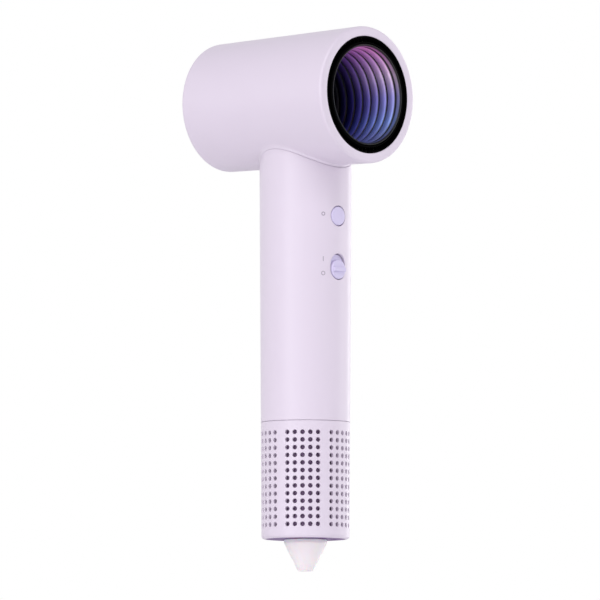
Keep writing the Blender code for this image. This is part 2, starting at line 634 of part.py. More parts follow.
# ---- motor ----------------------------------------------------------------------------------
def add_motor():
    """The motor in the handle: a vaned housing around the stator, and the rotor with its impeller."""
    hub = MOTOR_HUB_RADIUS
    hub_bore = hub - 0.0008
    core_radius = hub_bore - GAP
    shroud_bore = MOTOR_RADIUS - 0.0010
    top = MOTOR_Z + MOTOR_LENGTH
    hub_low = MOTOR_Z + 0.0056
    cap = 0.0012
    bearing_radius = 0.0025
    bearing_bore = SHAFT_RADIUS + GAP

    housing = place("motor_housing", ring("motor_housing", shroud_bore, MOTOR_RADIUS, MOTOR_Z, top,
                                          MEDIUM), "aluminium")
    vane = block("stator_vane", (hub - 0.0004, -0.00035, MOTOR_Z + 0.0090),
                 (shroud_bore + 0.0004, 0.00035, top - 0.0030), twist=math.radians(-14.0))
    work(housing, "UNION", spread("stator_vanes", vane, around(VANE_COUNT)))
    work(housing, "UNION", ring("motor_hub", hub_bore, hub, hub_low, top - 0.0008, COARSE))

    lower_cap = hub_low + GAP
    lower_winding = lower_cap + cap + GAP
    core_low = lower_winding + 0.0020 + GAP
    upper_cap = top - 0.0008 - GAP - cap
    upper_winding = upper_cap - GAP - 0.0020
    core_high = upper_winding - GAP
    for side, low in (("lower", lower_cap), ("upper", upper_cap)):
        place(f"bearing_cap_{side}", ring("cap", bearing_radius + GAP, core_radius, low, low + cap,
                                          COARSE), "aluminium")
        place(f"bearing_{side}", ring("bearing", bearing_bore, bearing_radius, low, low + cap, SMALL),
              "steel")
    for side, low in (("lower", lower_winding), ("upper", upper_winding)):
        place(f"winding_{side}", ring("winding", 0.0046, core_radius - 0.0004, low, low + 0.0020,
                                      COARSE, 0.0006), "copper")
    core = place("stator_core", ring("stator_core", 0.0041, core_radius, core_low, core_high, COARSE),
                 "steel")
    work(core, "DIFFERENCE", spread("slots", block("slot", (0.0050, -0.0004, core_low - 0.001),
                                                   (core_radius + 0.001, 0.0004, core_high + 0.001)),
                                    around(6)))

    place("rotor_shaft", rod("rotor_shaft", SHAFT_RADIUS, MOTOR_Z + 0.0006, top - 0.0006, 12, 0.0002),
          "steel")
    place("rotor_magnet", ring("rotor_magnet", bearing_bore, 0.0036, core_low, core_high, SMALL),
          "magnet")
    low, high = MOTOR_Z + 0.0010, MOTOR_Z + 0.0052
    hub_outline = [(bearing_bore, low), (0.0052, low), (0.0062, low + 0.0014), (hub - 0.0006, high),
                   (bearing_bore, high)]
    impeller = place("impeller", turned("impeller", hub_outline, 26), "aluminium")
    blade = block("blade", (0.0046, -0.0003, low + 0.0002),
                  (shroud_bore - 2.0 * GAP, 0.0003, high - 0.0003), twist=math.radians(22.0))
    work(impeller, "UNION", spread("blades", blade, around(BLADE_COUNT)))

    notch = block("lead_notch", (-0.0026, -HANDLE_TOP_RADIUS, MOTOR_Z - 0.001),
                  (0.0026, -MOTOR_RADIUS + 0.002, top + 0.001))
    for side, low in (("lower", MOTOR_Z + 0.0010), ("upper", top - 0.0050)):
        damper = place(f"motor_damper_{side}", ring("damper", MOTOR_RADIUS + GAP,
                                                    handle_bore(low) - GAP, low, low + 0.0040,
                                                    COARSE), "black_rubber")
        work(damper, "DIFFERENCE", notch.copy())


# ---- inlet and cord gland -------------------------------------------------------------------
def slot_angles():
    """Angles of the sleeve's columns of air slots, from +X, with groups spread about the axis."""
    middle = (SLOTS_IN_GROUP - 1) / 2.0
    front = -math.pi / 2.0 + SLOT_PHASE
    return [group + (index - middle) * SLOT_STEP
            for group in around(SLOT_GROUPS, front) for index in range(SLOTS_IN_GROUP)]


def add_inlet():
    """The slotted sleeve that pulls off downward, and the filter on its cage inside it."""
    high = SEAM_Z - GAP / 2.0
    outline = [(SLEEVE_BORE, BOTTOM_Z), (HANDLE_END_RADIUS - SLEEVE_CHAMFER, BOTTOM_Z),
               (HANDLE_END_RADIUS, BOTTOM_Z + SLEEVE_CHAMFER), (handle_radius(high), high - SEAM_EDGE),
               (handle_radius(high) - SEAM_EDGE, high), (SLEEVE_BORE, high)]
    sleeve = place("inlet_sleeve", turned("inlet_sleeve", outline, FINE), "lilac_plastic")
    slot = block("slot", (SLEEVE_BORE - 0.003, -SLOT_WIDTH / 2.0, BOTTOM_Z + SLOTS_FROM_BOTTOM),
                 (HANDLE_TOP_RADIUS + 0.003, SLOT_WIDTH / 2.0, SEAM_Z - SLOTS_FROM_TOP))
    work(sleeve, "DIFFERENCE", spread("slots", slot, slot_angles()))

    place("filter_mesh", ring("filter_mesh", FILTER_RADIUS - FILTER_WALL, FILTER_RADIUS, CAGE_FLOOR_Z,
                              SEAM_Z - GAP, MEDIUM), "steel")

    flange = handle_bore(SEAM_Z) - GAP
    outline = [(CAGE_FLOOR_BORE, CAGE_FLOOR_Z), (CAGE_RADIUS, CAGE_FLOOR_Z),
               (CAGE_RADIUS, SEAM_Z + GAP), (flange, SEAM_Z + GAP), (flange, MOTOR_Z - GAP),
               (CAGE_BORE, MOTOR_Z - GAP), (CAGE_BORE, CAGE_FLOOR_TOP),
               (CAGE_FLOOR_BORE, CAGE_FLOOR_TOP)]
    cage = place("inlet_cage", turned("inlet_cage", outline, MEDIUM), "grey_plastic")
    window = block("window", (CAGE_BORE - 0.004, -0.0060, CAGE_FLOOR_TOP + 0.0060),
                   (CAGE_RADIUS + 0.002, 0.0060, SEAM_Z - 0.0040))
    work(cage, "DIFFERENCE", spread("windows", window, around(SLOT_GROUPS, -math.pi / 2.0 + SLOT_PHASE)))
    hole = shift(rod("hole", SCREW_RADIUS + GAP, CAGE_FLOOR_Z - 0.001, CAGE_FLOOR_TOP + 0.001, 8),
                 SCREW_CIRCLE, 0.0)
    work(cage, "DIFFERENCE", spread("holes", hole, THREE_WAYS + [0.0, math.pi]))


def add_base():
    """The plum base plate with its three screws."""
    base = place("base_plate", ring("base_plate", CONE_NECK_RADIUS + GAP, SLEEVE_BORE - GAP, BOTTOM_Z,
                                    BOTTOM_Z + BASE_THICKNESS, MEDIUM, 0.0003), "plum_plastic")
    sink = SCREW_HEAD_HEIGHT + GAP
    hole = shift(rod("hole", SCREW_RADIUS + GAP, BOTTOM_Z - 0.001, BOTTOM_Z + 0.005, 8),
                 SCREW_CIRCLE, 0.0)
    counterbore = shift(rod("counterbore", SCREW_HEAD_RADIUS + GAP, BOTTOM_Z - 0.001, BOTTOM_Z + sink,
                            12), SCREW_CIRCLE, 0.0)
    work(base, "DIFFERENCE", spread("holes", hole, THREE_WAYS))
    work(base, "DIFFERENCE", spread("counterbores", counterbore, THREE_WAYS))
    for number, angle in enumerate(THREE_WAYS, 1):
        screw(f"base_screw_{number}", SCREW_CIRCLE * math.cos(angle), SCREW_CIRCLE * math.sin(angle),
              BOTTOM_Z + sink - GAP, 0.0030, facing_down=True)


def add_cord_gland():
    """The frosted cone under the base, the clamp above it, and the leads up to the board."""
    neck_top = BOTTOM_Z + BASE_THICKNESS + GAP
    below = BOTTOM_Z - GAP
    outline = [(CORD_HOLE_RADIUS, BOTTOM_Z - CONE_LENGTH), (CONE_TIP_RADIUS, BOTTOM_Z - CONE_LENGTH),
               (CONE_BASE_RADIUS, BOTTOM_Z - CONE_STRAIGHT), (CONE_BASE_RADIUS, below),
               (CONE_NECK_RADIUS, below), (CONE_NECK_RADIUS, neck_top),
               (CONE_NECK_RADIUS + 0.0022, neck_top), (CONE_NECK_RADIUS + 0.0022, neck_top + 0.0015),
               (CORD_HOLE_RADIUS, neck_top + 0.0015)]
    place("strain_relief", turned("strain_relief", outline, COARSE), "frosted_rubber")

    reach = SCREW_CIRCLE + 0.0019
    clamp = place("cord_clamp", block("cord_clamp", (-reach, -0.0026, CLAMP_Z),
                                      (reach, 0.0026, CLAMP_TOP)), "grey_plastic")
    bar_hole = shift(rod("bar_hole", SCREW_RADIUS + GAP, CLAMP_Z - 0.001, CLAMP_TOP + 0.001, 8),
                     SCREW_CIRCLE, 0.0)
    work(clamp, "DIFFERENCE", spread("bar_holes", bar_hole, [0.0, math.pi]))
    work(clamp, "DIFFERENCE", rod("cord_hole", 0.0018, CLAMP_Z - 0.001, CLAMP_TOP + 0.001, 12))
    for side, way in (("left", -1.0), ("right", 1.0)):
        screw(f"clamp_screw_{side}", way * SCREW_CIRCLE, 0.0, CLAMP_TOP + GAP, 0.0042)

    start = CLAMP_TOP + 0.0008
    end = BOARD_BOTTOM_Z + 0.0030
    cross_low, cross_high = start + 0.0040, SEAM_Z - 0.0060
    settle = BOARD_BOTTOM_Z - 0.0120
    on_board = BOARD_FRONT + GAP + LEAD_RADIUS
    steps = 20
    for side, x in (("live", -0.0008), ("neutral", 0.0008)):
        points = []
        for step in range(steps + 1):
            height = start + (end - start) * step / steps
            out = smooth((height - cross_low) / (cross_high - cross_low)) * LEAD_CIRCLE
            lane = smooth((height - MOTOR_Z) / (MOTOR_LENGTH - 0.0020)) * (LEAD_LANE - LEAD_CIRCLE)
            back = smooth((height - settle) / (BOARD_BOTTOM_Z - GAP - settle))
            points.append((x, -out - lane + back * (LEAD_LANE - on_board), height))
        wire(f"supply_lead_{side}", points, LEAD_RADIUS, "copper")


def smooth(share):
    """Ease from 0 to 1."""
    share = min(max(share, 0.0), 1.0)
    return share * share * (3.0 - 2.0 * share)


def main():
    """Clear the scene and build every piece."""
    for old in list(bpy.data.objects):
        bpy.data.objects.remove(old, do_unlink=True)
    world = frame_empty("handle_axis", (0.0, 0.0, 0.0), (0.0, 0.0, 0.0))
    head = frame_empty("head_axis", (0.0, 0.0, HEAD_Z), FACING_FRONT)
    add_head_shell(head, world)
    add_outlet(head)
    add_bore(head)
    add_heater(head)
    add_rear(head)
    add_handle_shell(head)
    add_chassis()
    add_mode_button()
    add_slide_switch()
    add_motor()
    add_inlet()
    add_base()
    add_cord_gland()


main()
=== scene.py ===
"""Looks of a travel hair dryer: a ring-outlet head on a round handle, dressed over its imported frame.

Everything is in metres. +Z runs up the handle's axis and the air leaves along -Y. "Ahead" is the
distance in front of the handle's axis, so ahead = -y. Each sub-assembly is a class that holds its
sizes, works its surfaces out with numpy and hangs them on the frame's bodies.
"""
import json
import logging
import math
from dataclasses import dataclass, field, replace
from enum import Enum
from typing import Any, Callable, Sequence

import bpy
import numpy as np
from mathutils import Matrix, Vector


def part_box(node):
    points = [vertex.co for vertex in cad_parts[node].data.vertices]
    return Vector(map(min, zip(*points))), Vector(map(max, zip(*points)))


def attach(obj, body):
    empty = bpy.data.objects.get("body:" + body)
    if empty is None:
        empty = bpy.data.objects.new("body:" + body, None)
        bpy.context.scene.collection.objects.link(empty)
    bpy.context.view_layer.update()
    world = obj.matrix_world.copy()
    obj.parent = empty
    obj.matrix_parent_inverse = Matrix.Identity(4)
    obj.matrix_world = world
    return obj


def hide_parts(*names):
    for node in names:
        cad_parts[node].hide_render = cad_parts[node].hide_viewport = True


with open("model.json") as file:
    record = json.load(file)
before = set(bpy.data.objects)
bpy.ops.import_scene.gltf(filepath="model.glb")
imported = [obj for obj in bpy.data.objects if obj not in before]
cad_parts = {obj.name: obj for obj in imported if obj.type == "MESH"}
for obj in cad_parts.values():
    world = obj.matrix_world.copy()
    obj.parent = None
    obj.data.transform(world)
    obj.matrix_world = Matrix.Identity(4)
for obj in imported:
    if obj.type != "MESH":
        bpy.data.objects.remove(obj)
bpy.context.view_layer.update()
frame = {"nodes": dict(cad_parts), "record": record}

LOG = logging.getLogger("hair_dryer")
TAU = 2.0 * math.pi
MM = 0.001
THREE_WAYS = np.radians([90.0, 210.0, 330.0])       # where the screws and posts stand


# ---- colours and nodes ----------------------------------------------------------------------
def linear(code: str) -> tuple[float, float, float, float]:
    """Turn an sRGB hex code into linear light.

    Each channel c becomes c / 12.92 up to 0.04045, and ((c + 0.055) / 1.055) ** 2.4 above it.

    Args:
        code: A colour such as "#E6DAE8".

    Returns:
        Linear red, green, blue and an alpha of 1.
    """
    channels = np.array([int(code[start:start + 2], 16) for start in (1, 3, 5)]) / 255.0
    light = np.where(channels <= 0.04045, channels / 12.92, ((channels + 0.055) / 1.055) ** 2.4)
    return (float(light[0]), float(light[1]), float(light[2]), 1.0)


def add_node(tree: bpy.types.NodeTree, kind: str, sockets: dict[Any, Any] | None = None,
             **settings: Any) -> bpy.types.Node:
    """Add a shader node with its settings, its values and its links.

    Args:
        tree: The node tree that gets the node.
        kind: The node's type name.
        sockets: For each input, by name or number, a value or the output that feeds it.
        **settings: Properties of the node itself.

    Returns:
        The new node.
    """
    node = tree.nodes.new(kind)
    for name, value in settings.items():
        setattr(node, name, value)
    for name, value in (sockets or {}).items():
        if isinstance(value, bpy.types.NodeSocket):
            tree.links.new(value, node.inputs[name])
        else:
            node.inputs[name].default_value = value
    return node


def ramp(tree: bpy.types.NodeTree, factor: bpy.types.NodeSocket,
         stops: Sequence[tuple[float, str]]) -> bpy.types.NodeSocket:
    """Give the colour output of a ramp that runs through the stops.

    Args:
        tree: The node tree.
        factor: What drives the ramp, 0 to 1.
        stops: Places and sRGB hex colours, in order.

    Returns:
        The ramp's colour output.
    """
    node = add_node(tree, "ShaderNodeValToRGB", {"Fac": factor})
    elements = node.color_ramp.elements
    while len(elements) < len(stops):
        elements.new(0.5)
    for element, (place, code) in zip(elements, stops):
        element.position = place
        element.color = linear(code)
    return node.outputs["Color"]


# ---- finishes -------------------------------------------------------------------------------
@dataclass(frozen=True)
class Finish:
    """A moulded, turned or painted surface: one hue with the fine unevenness of how it was made.

    Attributes:
        name: The real material and how its surface was made.
        slot: The record's slot it is the finish of.
        hue: Its sRGB colour.
        rough: Its roughness.
        metallic: 1 for bare metal.
        ior: Index of refraction, left at the shader's own value for metal.
        grain: Size of the surface's grain, metres.
        relief: Height of that grain, metres.
        mottle: How much the colour wanders, as a share.
        sockets: Further values set straight on the shader.
    """

    name: str
    slot: str
    hue: str
    rough: float
    metallic: float = 0.0
    ior: float = 1.5
    grain: float = 0.45 * MM
    relief: float = 0.004 * MM
    mottle: float = 0.02
    sockets: tuple[tuple[str, float], ...] = ()

    def paint(self, tree: bpy.types.NodeTree, place: bpy.types.NodeSocket) -> bpy.types.NodeSocket:
        """Give the colour: the hue, a little darker where a slow noise is low."""
        slow = add_node(tree, "ShaderNodeTexNoise", {"Vector": place, "Scale": 0.06 / MM, "Detail": 2.0})
        low = tuple(c * (1.0 - self.mottle) for c in linear(self.hue)[:3]) + (1.0,)
        mixed = add_node(tree, "ShaderNodeMix", {0: slow.outputs["Fac"], 6: low, 7: linear(self.hue)},
                         data_type="RGBA")
        return mixed.outputs[2]

    def bumps(self, tree: bpy.types.NodeTree, place: bpy.types.NodeSocket) -> bpy.types.NodeSocket:
        """Give the height of the grain, 0 to 1."""
        fine = add_node(tree, "ShaderNodeTexNoise", {"Vector": place, "Scale": 1.0 / self.grain,
                                                     "Detail": 3.0, "Roughness": 0.6})
        return fine.outputs["Fac"]

    def build(self) -> bpy.types.Material:
        """Make the material, or give the one that is already made."""
        made = bpy.data.materials.get(self.name)
        if made is not None:
            return made
        material = bpy.data.materials.new(self.name)
        material.use_nodes = True
        tree = material.node_tree
        shader = tree.nodes["Principled BSDF"]
        place = add_node(tree, "ShaderNodeTexCoord").outputs["Object"]
        height = self.bumps(tree, place)
        tree.links.new(self.paint(tree, place), shader.inputs["Base Color"])
        spread = add_node(tree, "ShaderNodeMapRange", {"Value": height, "To Min": self.rough * 0.94,
                                                       "To Max": self.rough * 1.06})
        tree.links.new(spread.outputs["Result"], shader.inputs["Roughness"])
        bump = add_node(tree, "ShaderNodeBump", {"Height": height, "Strength": 1.0,
                                                 "Distance": self.relief})
        tree.links.new(bump.outputs["Normal"], shader.inputs["Normal"])
        shader.inputs["Metallic"].default_value = self.metallic
        if self.metallic < 0.5:
            shader.inputs["IOR"].default_value = self.ior
        for name, value in self.sockets:
            shader.inputs[name].default_value = value
        return material


@dataclass(frozen=True)
class PlatedBore(Finish):
    """Vapour-plated metal whose thin film turns from pink at the top to blue at the bottom, with painted
    shade that darkens it deeper in and in the grooves.

    Attributes:
        low: Height where the colours start, metres.
        high: Height where they end.
        mouth: y of the open end.
        depth: How far in from it the painted shade runs.
        groove: Radius at the bottom of the grooves, where painted shade keeps the metal dark.
        groove_shade: Height over the grooves where that painted shade ends; its lower half is all dark.
        stops: The film's colours from the bottom up.
        depth_shade: Painted shade that they are multiplied by, darker from the open end inwards.
    """

    low: float = 0.0
    high: float = 1.0
    mouth: float = 0.0
    depth: float = 0.03
    groove: float = 0.02
    # Painted shade in the grooves: the film turns dark near the groove radius.
    groove_shade: float = 0.62 * MM
    stops: tuple[tuple[float, str], ...] = ((0.0, "#8FB4F0"), (1.0, "#F08FD8"))
    # Painted shade with depth: the film darkens to near black deeper in from the mouth.
    depth_shade: tuple[tuple[float, str], ...] = ((0.0, "#F4F4EE"), (0.25, "#F4F4FF"), (0.48, "#DCD4F8"),
                                           (0.62, "#A096D4"), (0.78, "#4A4284"), (1.0, "#040308"))

    def paint(self, tree: bpy.types.NodeTree, place: bpy.types.NodeSocket) -> bpy.types.NodeSocket:
        """Give the film's colour by height, darkened by painted shade with depth and in the grooves."""
        axes = add_node(tree, "ShaderNodeSeparateXYZ", {"Vector": place})
        tall = add_node(tree, "ShaderNodeMapRange", {"Value": axes.outputs["Z"], "From Min": self.low,
                                                     "From Max": self.high})
        film = ramp(tree, tall.outputs["Result"], self.stops)
        # Painted shade: the film is multiplied darker the deeper it lies behind the mouth.
        deep = add_node(tree, "ShaderNodeMapRange", {"Value": axes.outputs["Y"], "From Min": self.mouth,
                                                     "From Max": self.mouth + self.depth})
        depth_shaded = ramp(tree, deep.outputs["Result"], self.depth_shade)
        # Painted shade in the grooves: dark near the groove radius, full colour on the crests.
        high = add_node(tree, "ShaderNodeMath", {0: axes.outputs["Z"], 1: (self.low + self.high) / 2.0},
                        operation="SUBTRACT")
        across = add_node(tree, "ShaderNodeCombineXYZ", {0: axes.outputs["X"], 1: high.outputs[0]})
        far = add_node(tree, "ShaderNodeVectorMath", {0: across.outputs[0]}, operation="LENGTH")
        groove_shading = add_node(tree, "ShaderNodeMapRange", {"Value": far.outputs["Value"],
                                                      "From Min": self.groove - self.groove_shade,
                                                      "From Max": self.groove - self.groove_shade / 2.0,
                                                      "To Min": 1.0, "To Max": 0.01})
        for layer in (depth_shaded, groove_shading.outputs["Result"]):
            film = add_node(tree, "ShaderNodeMix", {0: 1.0, 6: film, 7: layer},
                            data_type="RGBA", blend_type="MULTIPLY").outputs[2]
        return film


@dataclass(frozen=True)
class WireGauze(Finish):
    """Woven wire: paler crowns over darker gaps painted as shade between the wires, wound round the
    handle's axis.

    Attributes:
        pitch: Wire spacing, metres.
        radius: Radius of the gauze's tube, so that the weave closes on itself.
        gap_shade_hue: The darker hue between the wires, painted shade.
    """

    pitch: float = 0.5 * MM
    radius: float = 0.0176
    gap_shade_hue: str = "#5E4270"

    def bumps(self, tree: bpy.types.NodeTree, place: bpy.types.NodeSocket) -> bpy.types.NodeSocket:
        """Give the weave's height: |sin| of the way round times |sin| of the way up."""
        axes = add_node(tree, "ShaderNodeSeparateXYZ", {"Vector": place})
        turn = add_node(tree, "ShaderNodeMath", {0: axes.outputs["X"], 1: axes.outputs["Y"]},
                        operation="ARCTAN2")
        wires = round(TAU * self.radius / self.pitch)
        waves = []
        for socket, rate in ((turn.outputs[0], wires / 2.0), (axes.outputs["Z"], math.pi / self.pitch)):
            phase = add_node(tree, "ShaderNodeMath", {0: socket, 1: rate}, operation="MULTIPLY")
            wave = add_node(tree, "ShaderNodeMath", {0: phase.outputs[0]}, operation="SINE")
            waves.append(add_node(tree, "ShaderNodeMath", {0: wave.outputs[0]}, operation="ABSOLUTE"))
        both = add_node(tree, "ShaderNodeMath", {0: waves[0].outputs[0], 1: waves[1].outputs[0]},
                        operation="MULTIPLY")
        return both.outputs[0]

    def paint(self, tree: bpy.types.NodeTree, place: bpy.types.NodeSocket) -> bpy.types.NodeSocket:
        """Give the wire's hue on the crowns and the darker painted shade in the gaps."""
        # Painted shade: the gaps between the wires are darker than the crowns.
        return ramp(tree, self.bumps(tree, place), ((0.08, self.gap_shade_hue), (0.45, self.hue)))


@dataclass(frozen=True)
class WoundWire(Finish):
    """Enamelled wire laid in turns: a fine ripple along one axis.

    Attributes:
        pitch: Spacing of the turns, metres.
    """

    pitch: float = 0.6 * MM

    def bumps(self, tree: bpy.types.NodeTree, place: bpy.types.NodeSocket) -> bpy.types.NodeSocket:
        """Give the ripple of the turns along Z, from a band texture."""
        band = add_node(tree, "ShaderNodeTexWave", {"Vector": place, "Scale": 0.314 / self.pitch,
                                                    "Distortion": 0.4, "Detail": 1.0},
                        wave_type="BANDS", bands_direction="Z")
        return band.outputs["Fac"]


# Satin ABS, injection moulded in fine-textured steel: soft wide highlights and no glitter.
SATIN_LILAC = Finish("ABS moulded satin lilac", "lilac_plastic", "#D5CADA", 0.36, ior=1.54,
                     grain=0.35 * MM, relief=0.0025 * MM, mottle=0.012)
# Satin ABS with more blue in it and a tighter gloss, so that the keys stand out from the shell.
SATIN_VIOLET = Finish("ABS moulded satin violet", "violet_plastic", "#CBC2E2", 0.30, ior=1.54,
                      grain=0.35 * MM, relief=0.002 * MM, mottle=0.01)
# Glass-filled nylon, moulded and dyed through: a dull plum base that takes the screws.
DULL_PLUM = Finish("nylon moulded dull plum", "plum_plastic", "#6C4484", 0.48, ior=1.53,
                   grain=0.3 * MM, relief=0.006 * MM, mottle=0.05)
# Heat-proof polymer, moulded black: swallows the light so that the outlet reads as a void.
HEATPROOF_BLACK = Finish("PPS moulded black", "black_plastic", "#020202", 0.8, ior=1.5,
                         grain=0.4 * MM, relief=0.004 * MM, mottle=0.2,
                         sockets=(("Specular IOR Level", 0.03),))
# Polycarbonate and ABS blend, moulded grey: the frame that nobody sees from outside.
FRAME_GREY = Finish("PC-ABS moulded grey", "grey_plastic", "#75757B", 0.5, ior=1.56,
                    grain=0.4 * MM, relief=0.006 * MM, mottle=0.06)
# Thermoplastic elastomer with a frosted skin: light enters it, so its shadows are pale.
FROSTED_TPE = Finish("TPE moulded frosted", "frosted_rubber", "#EAE4E8", 0.5, ior=1.48,
                     grain=0.4 * MM, relief=0.006 * MM, mottle=0.02,
                     sockets=(("Subsurface Weight", 0.35), ("Subsurface Scale", 0.003)))
# Silicone, pressed black: matte, with a faint bloom.
BLACK_SILICONE = Finish("silicone pressed black", "black_rubber", "#1B1A1C", 0.78, ior=1.43,
                        grain=0.5 * MM, relief=0.012 * MM, mottle=0.25)
# Stainless steel, tumbled: small parts such as screws and the nozzle's holding ring.
TUMBLED_STEEL = Finish("stainless steel tumbled", "steel", "#B9B8BC", 0.32, metallic=1.0,
                       grain=0.3 * MM, relief=0.004 * MM, mottle=0.1)
# Aluminium, turned and cleaned: the motor's casing and the heat sink.
TURNED_ALUMINIUM = Finish("aluminium turned", "aluminium", "#D3D5D8", 0.38, metallic=1.0,
                          grain=0.25 * MM, relief=0.005 * MM, mottle=0.08)
# Sintered magnet under bright nickel: hard reflections in a greyer metal.
NICKEL_MAGNET = Finish("neodymium nickel plated", "magnet", "#8F8F96", 0.22, metallic=1.0,
                       grain=0.5 * MM, relief=0.002 * MM, mottle=0.05)
# Copper wire under clear enamel: turns that catch the light one by one.
ENAMELLED_COPPER = WoundWire("copper wire enamelled", "copper", "#C8743F", 0.3, metallic=1.0,
                             relief=0.06 * MM, mottle=0.12, sockets=(("Coat Weight", 0.4),))
# Mica paper, pressed and cut: flaky, tan, with a soft glint.
PRESSED_MICA = Finish("mica sheet pressed", "mica", "#B9A684", 0.42, ior=1.58, grain=1.6 * MM,
                      relief=0.03 * MM, mottle=0.3, sockets=(("Sheen Weight", 0.2),))
# Glass-epoxy board under green solder mask: glossy lacquer over a faint weave.
GREEN_BOARD = Finish("glass epoxy solder mask", "circuit_board", "#14582F", 0.28, ior=1.55,
                     grain=0.7 * MM, relief=0.006 * MM, mottle=0.25)
# Pad-printed ink, cured flat: grey marks with no gloss of their own.
PRINT_INK = Finish("pad print ink grey", "grey_plastic", "#A59BAC", 0.6, grain=0.2 * MM,
                   relief=0.002 * MM, mottle=0.05)
# Stainless wire gauze, etched and tinted mauve: the weave is drawn coarser than the real one.
DARK_GAUZE = WireGauze("stainless gauze etched", "steel", "#AA92B2", 0.5, metallic=0.3,
                       relief=0.05 * MM)
# Fibreboard under pale paint: the studio's floor, which belongs to no slot.
PAINTED_BOARD = Finish("board painted pale", "", "#F4F3F5", 0.7, relief=0.0, mottle=0.01)
CARRIED = {finish.slot: finish for finish in (
    SATIN_LILAC, SATIN_VIOLET, DULL_PLUM, HEATPROOF_BLACK, FRAME_GREY, FROSTED_TPE, BLACK_SILICONE,
    TUMBLED_STEEL, TURNED_ALUMINIUM, NICKEL_MAGNET, ENAMELLED_COPPER, PRESSED_MICA, GREEN_BOARD)}


# ---- surfaces -------------------------------------------------------------------------------
@dataclass
class Surface:
    """Points and four-cornered faces as arrays. A triangle repeats one corner.

    Attributes:
        points: Shape (n, 3), metres.
        faces: Shape (m, 4), indices into points.
    """

    points: np.ndarray
    faces: np.ndarray

    def facing_front(self, height: float) -> "Surface":
        """Turn local +Z to the front and local +Y up: (x, y, z) goes to (x, -z, y + height)."""
        x, y, z = self.points.T
        return Surface(np.stack([x, -z, y + height], axis=1), self.faces)

    def moved(self, x: float = 0.0, y: float = 0.0, z: float = 0.0) -> "Surface":
        """Shift every point by (x, y, z)."""
        return Surface(self.points + np.array([x, y, z]), self.faces)

    def welded(self) -> "Surface":
        """Make points closer than a tenth of a micrometre one, and face the surface outward.

        The sign of the volume, the sum of a . (b x c) / 6 over the triangles, says which way it
        faces, and a negative one turns every face over.
        """
        keys = np.round(self.points / 1e-7).astype(np.int64)
        _, first, index = np.unique(keys, axis=0, return_index=True, return_inverse=True)
        points, faces = self.points[first], index.reshape(-1)[self.faces]
        a, b, c, d = (points[faces[:, corner]] for corner in range(4))
        volume = (np.einsum("ij,ij->i", a, np.cross(b, c)) + np.einsum("ij,ij->i", a, np.cross(c, d))).sum()
        return Surface(points, faces if volume >= 0.0 else faces[:, ::-1])

    def polygons(self) -> list[list[int]]:
        """Give the faces as lists, with a repeated corner dropped and empty faces left out."""
        same = self.faces == np.roll(self.faces, -1, axis=1)
        found = self.faces[same.sum(axis=1) == 0].tolist()
        for corner in range(4):
            ones = self.faces[(same.sum(axis=1) == 1) & same[:, corner]]
            found += np.delete(ones, corner, axis=1).tolist()
        return found


def joined(parts: Sequence[Surface]) -> Surface:
    """Put several surfaces into one, with their indices counted on."""
    starts = np.cumsum([0] + [len(part.points) for part in parts[:-1]])
    return Surface(np.concatenate([part.points for part in parts]),
                   np.concatenate([part.faces + start for part, start in zip(parts, starts)]))


def stacked(loops: np.ndarray) -> Surface:
    """Skin closed loops that lie one after another.

    Point (row, k) is loops[row, k], and each face joins rows row and row + 1 at k and k + 1, with
    k running round. A first or last loop that has shrunk to a point closes that end.

    Args:
        loops: Shape (rows, steps, 3).

    Returns:
        The skin between the loops.
    """
    rows, steps = loops.shape[:2]
    index = np.arange(rows * steps).reshape(rows, steps)
    after = np.roll(index, -1, axis=1)
    faces = np.stack([index[:-1], after[:-1], after[1:], index[1:]], axis=-1)
    return Surface(loops.reshape(-1, 3), faces.reshape(-1, 4))


def rounded(corners: Sequence[tuple[float, float, float]], steps: int = 4) -> np.ndarray:
    """Round the corners of a closed outline.

    With P a corner, u and v the unit ways to its neighbours and t = radius / tan(angle / 2), the
    rounding is P + t ((1 - s)^2 u + s^2 v) for s from 0 to 1. One more point on each side, 0.6 t
    further out, keeps the flats beside it flat.

    Args:
        corners: (radius from the axis, height, rounding) of each corner, in order.
        steps: Spans in each rounding.

    Returns:
        The rounded outline, shape (n, 2).
    """
    table = np.array(corners, float)
    points, size = table[:, :2], table[:, 2]
    back = np.roll(points, 1, axis=0) - points
    ahead = np.roll(points, -1, axis=0) - points
    back /= np.linalg.norm(back, axis=1)[:, None]
    ahead /= np.linalg.norm(ahead, axis=1)[:, None]
    half = np.arccos(np.clip((back * ahead).sum(axis=1), -1.0, 1.0)) / 2.0
    reach = np.where(size > 0.0, size / np.tan(half), 0.0)[:, None, None]
    share = np.linspace(0.0, 1.0, steps + 1)[None, :, None]
    bend = (1.0 - share) ** 2 * back[:, None] + share ** 2 * ahead[:, None]
    bend = np.concatenate([1.6 * back[:, None], bend, 1.6 * ahead[:, None]], axis=1)
    return (points[:, None] + reach * bend).reshape(-1, 2)


def fine(line: np.ndarray, span: float) -> np.ndarray:
    """Split the long steps of an open line evenly, so that none is longer than the span.

    Args:
        line: Shape (n, 2).
        span: The longest step that stays, metres.

    Returns:
        The line with its own points and those between them.
    """
    steps = np.diff(line, axis=0)
    counts = np.maximum(1, np.ceil(np.hypot(*steps.T) / span)).astype(int)
    pieces = [start + step * np.arange(count)[:, None] / count
              for start, step, count in zip(line, steps, counts)]
    return np.concatenate([*pieces, line[-1:]])


def turned(outline: np.ndarray, steps: int) -> Surface:
    """Spin a closed outline round +Z.

    Point (row, k) is (r cos a, r sin a, h) with (r, h) the outline's row and a = 2 pi k / steps.

    Args:
        outline: Shape (n, 2), radius and height.
        steps: Spans round the axis.

    Returns:
        The closed body of revolution.
    """
    angle = np.arange(steps) * TAU / steps
    loop = np.concatenate([outline, outline[:1]])
    radius, height = loop[:, :1], loop[:, 1:]
    return stacked(np.stack([radius * np.cos(angle), radius * np.sin(angle),
                             np.broadcast_to(height, (len(loop), steps))], axis=-1))


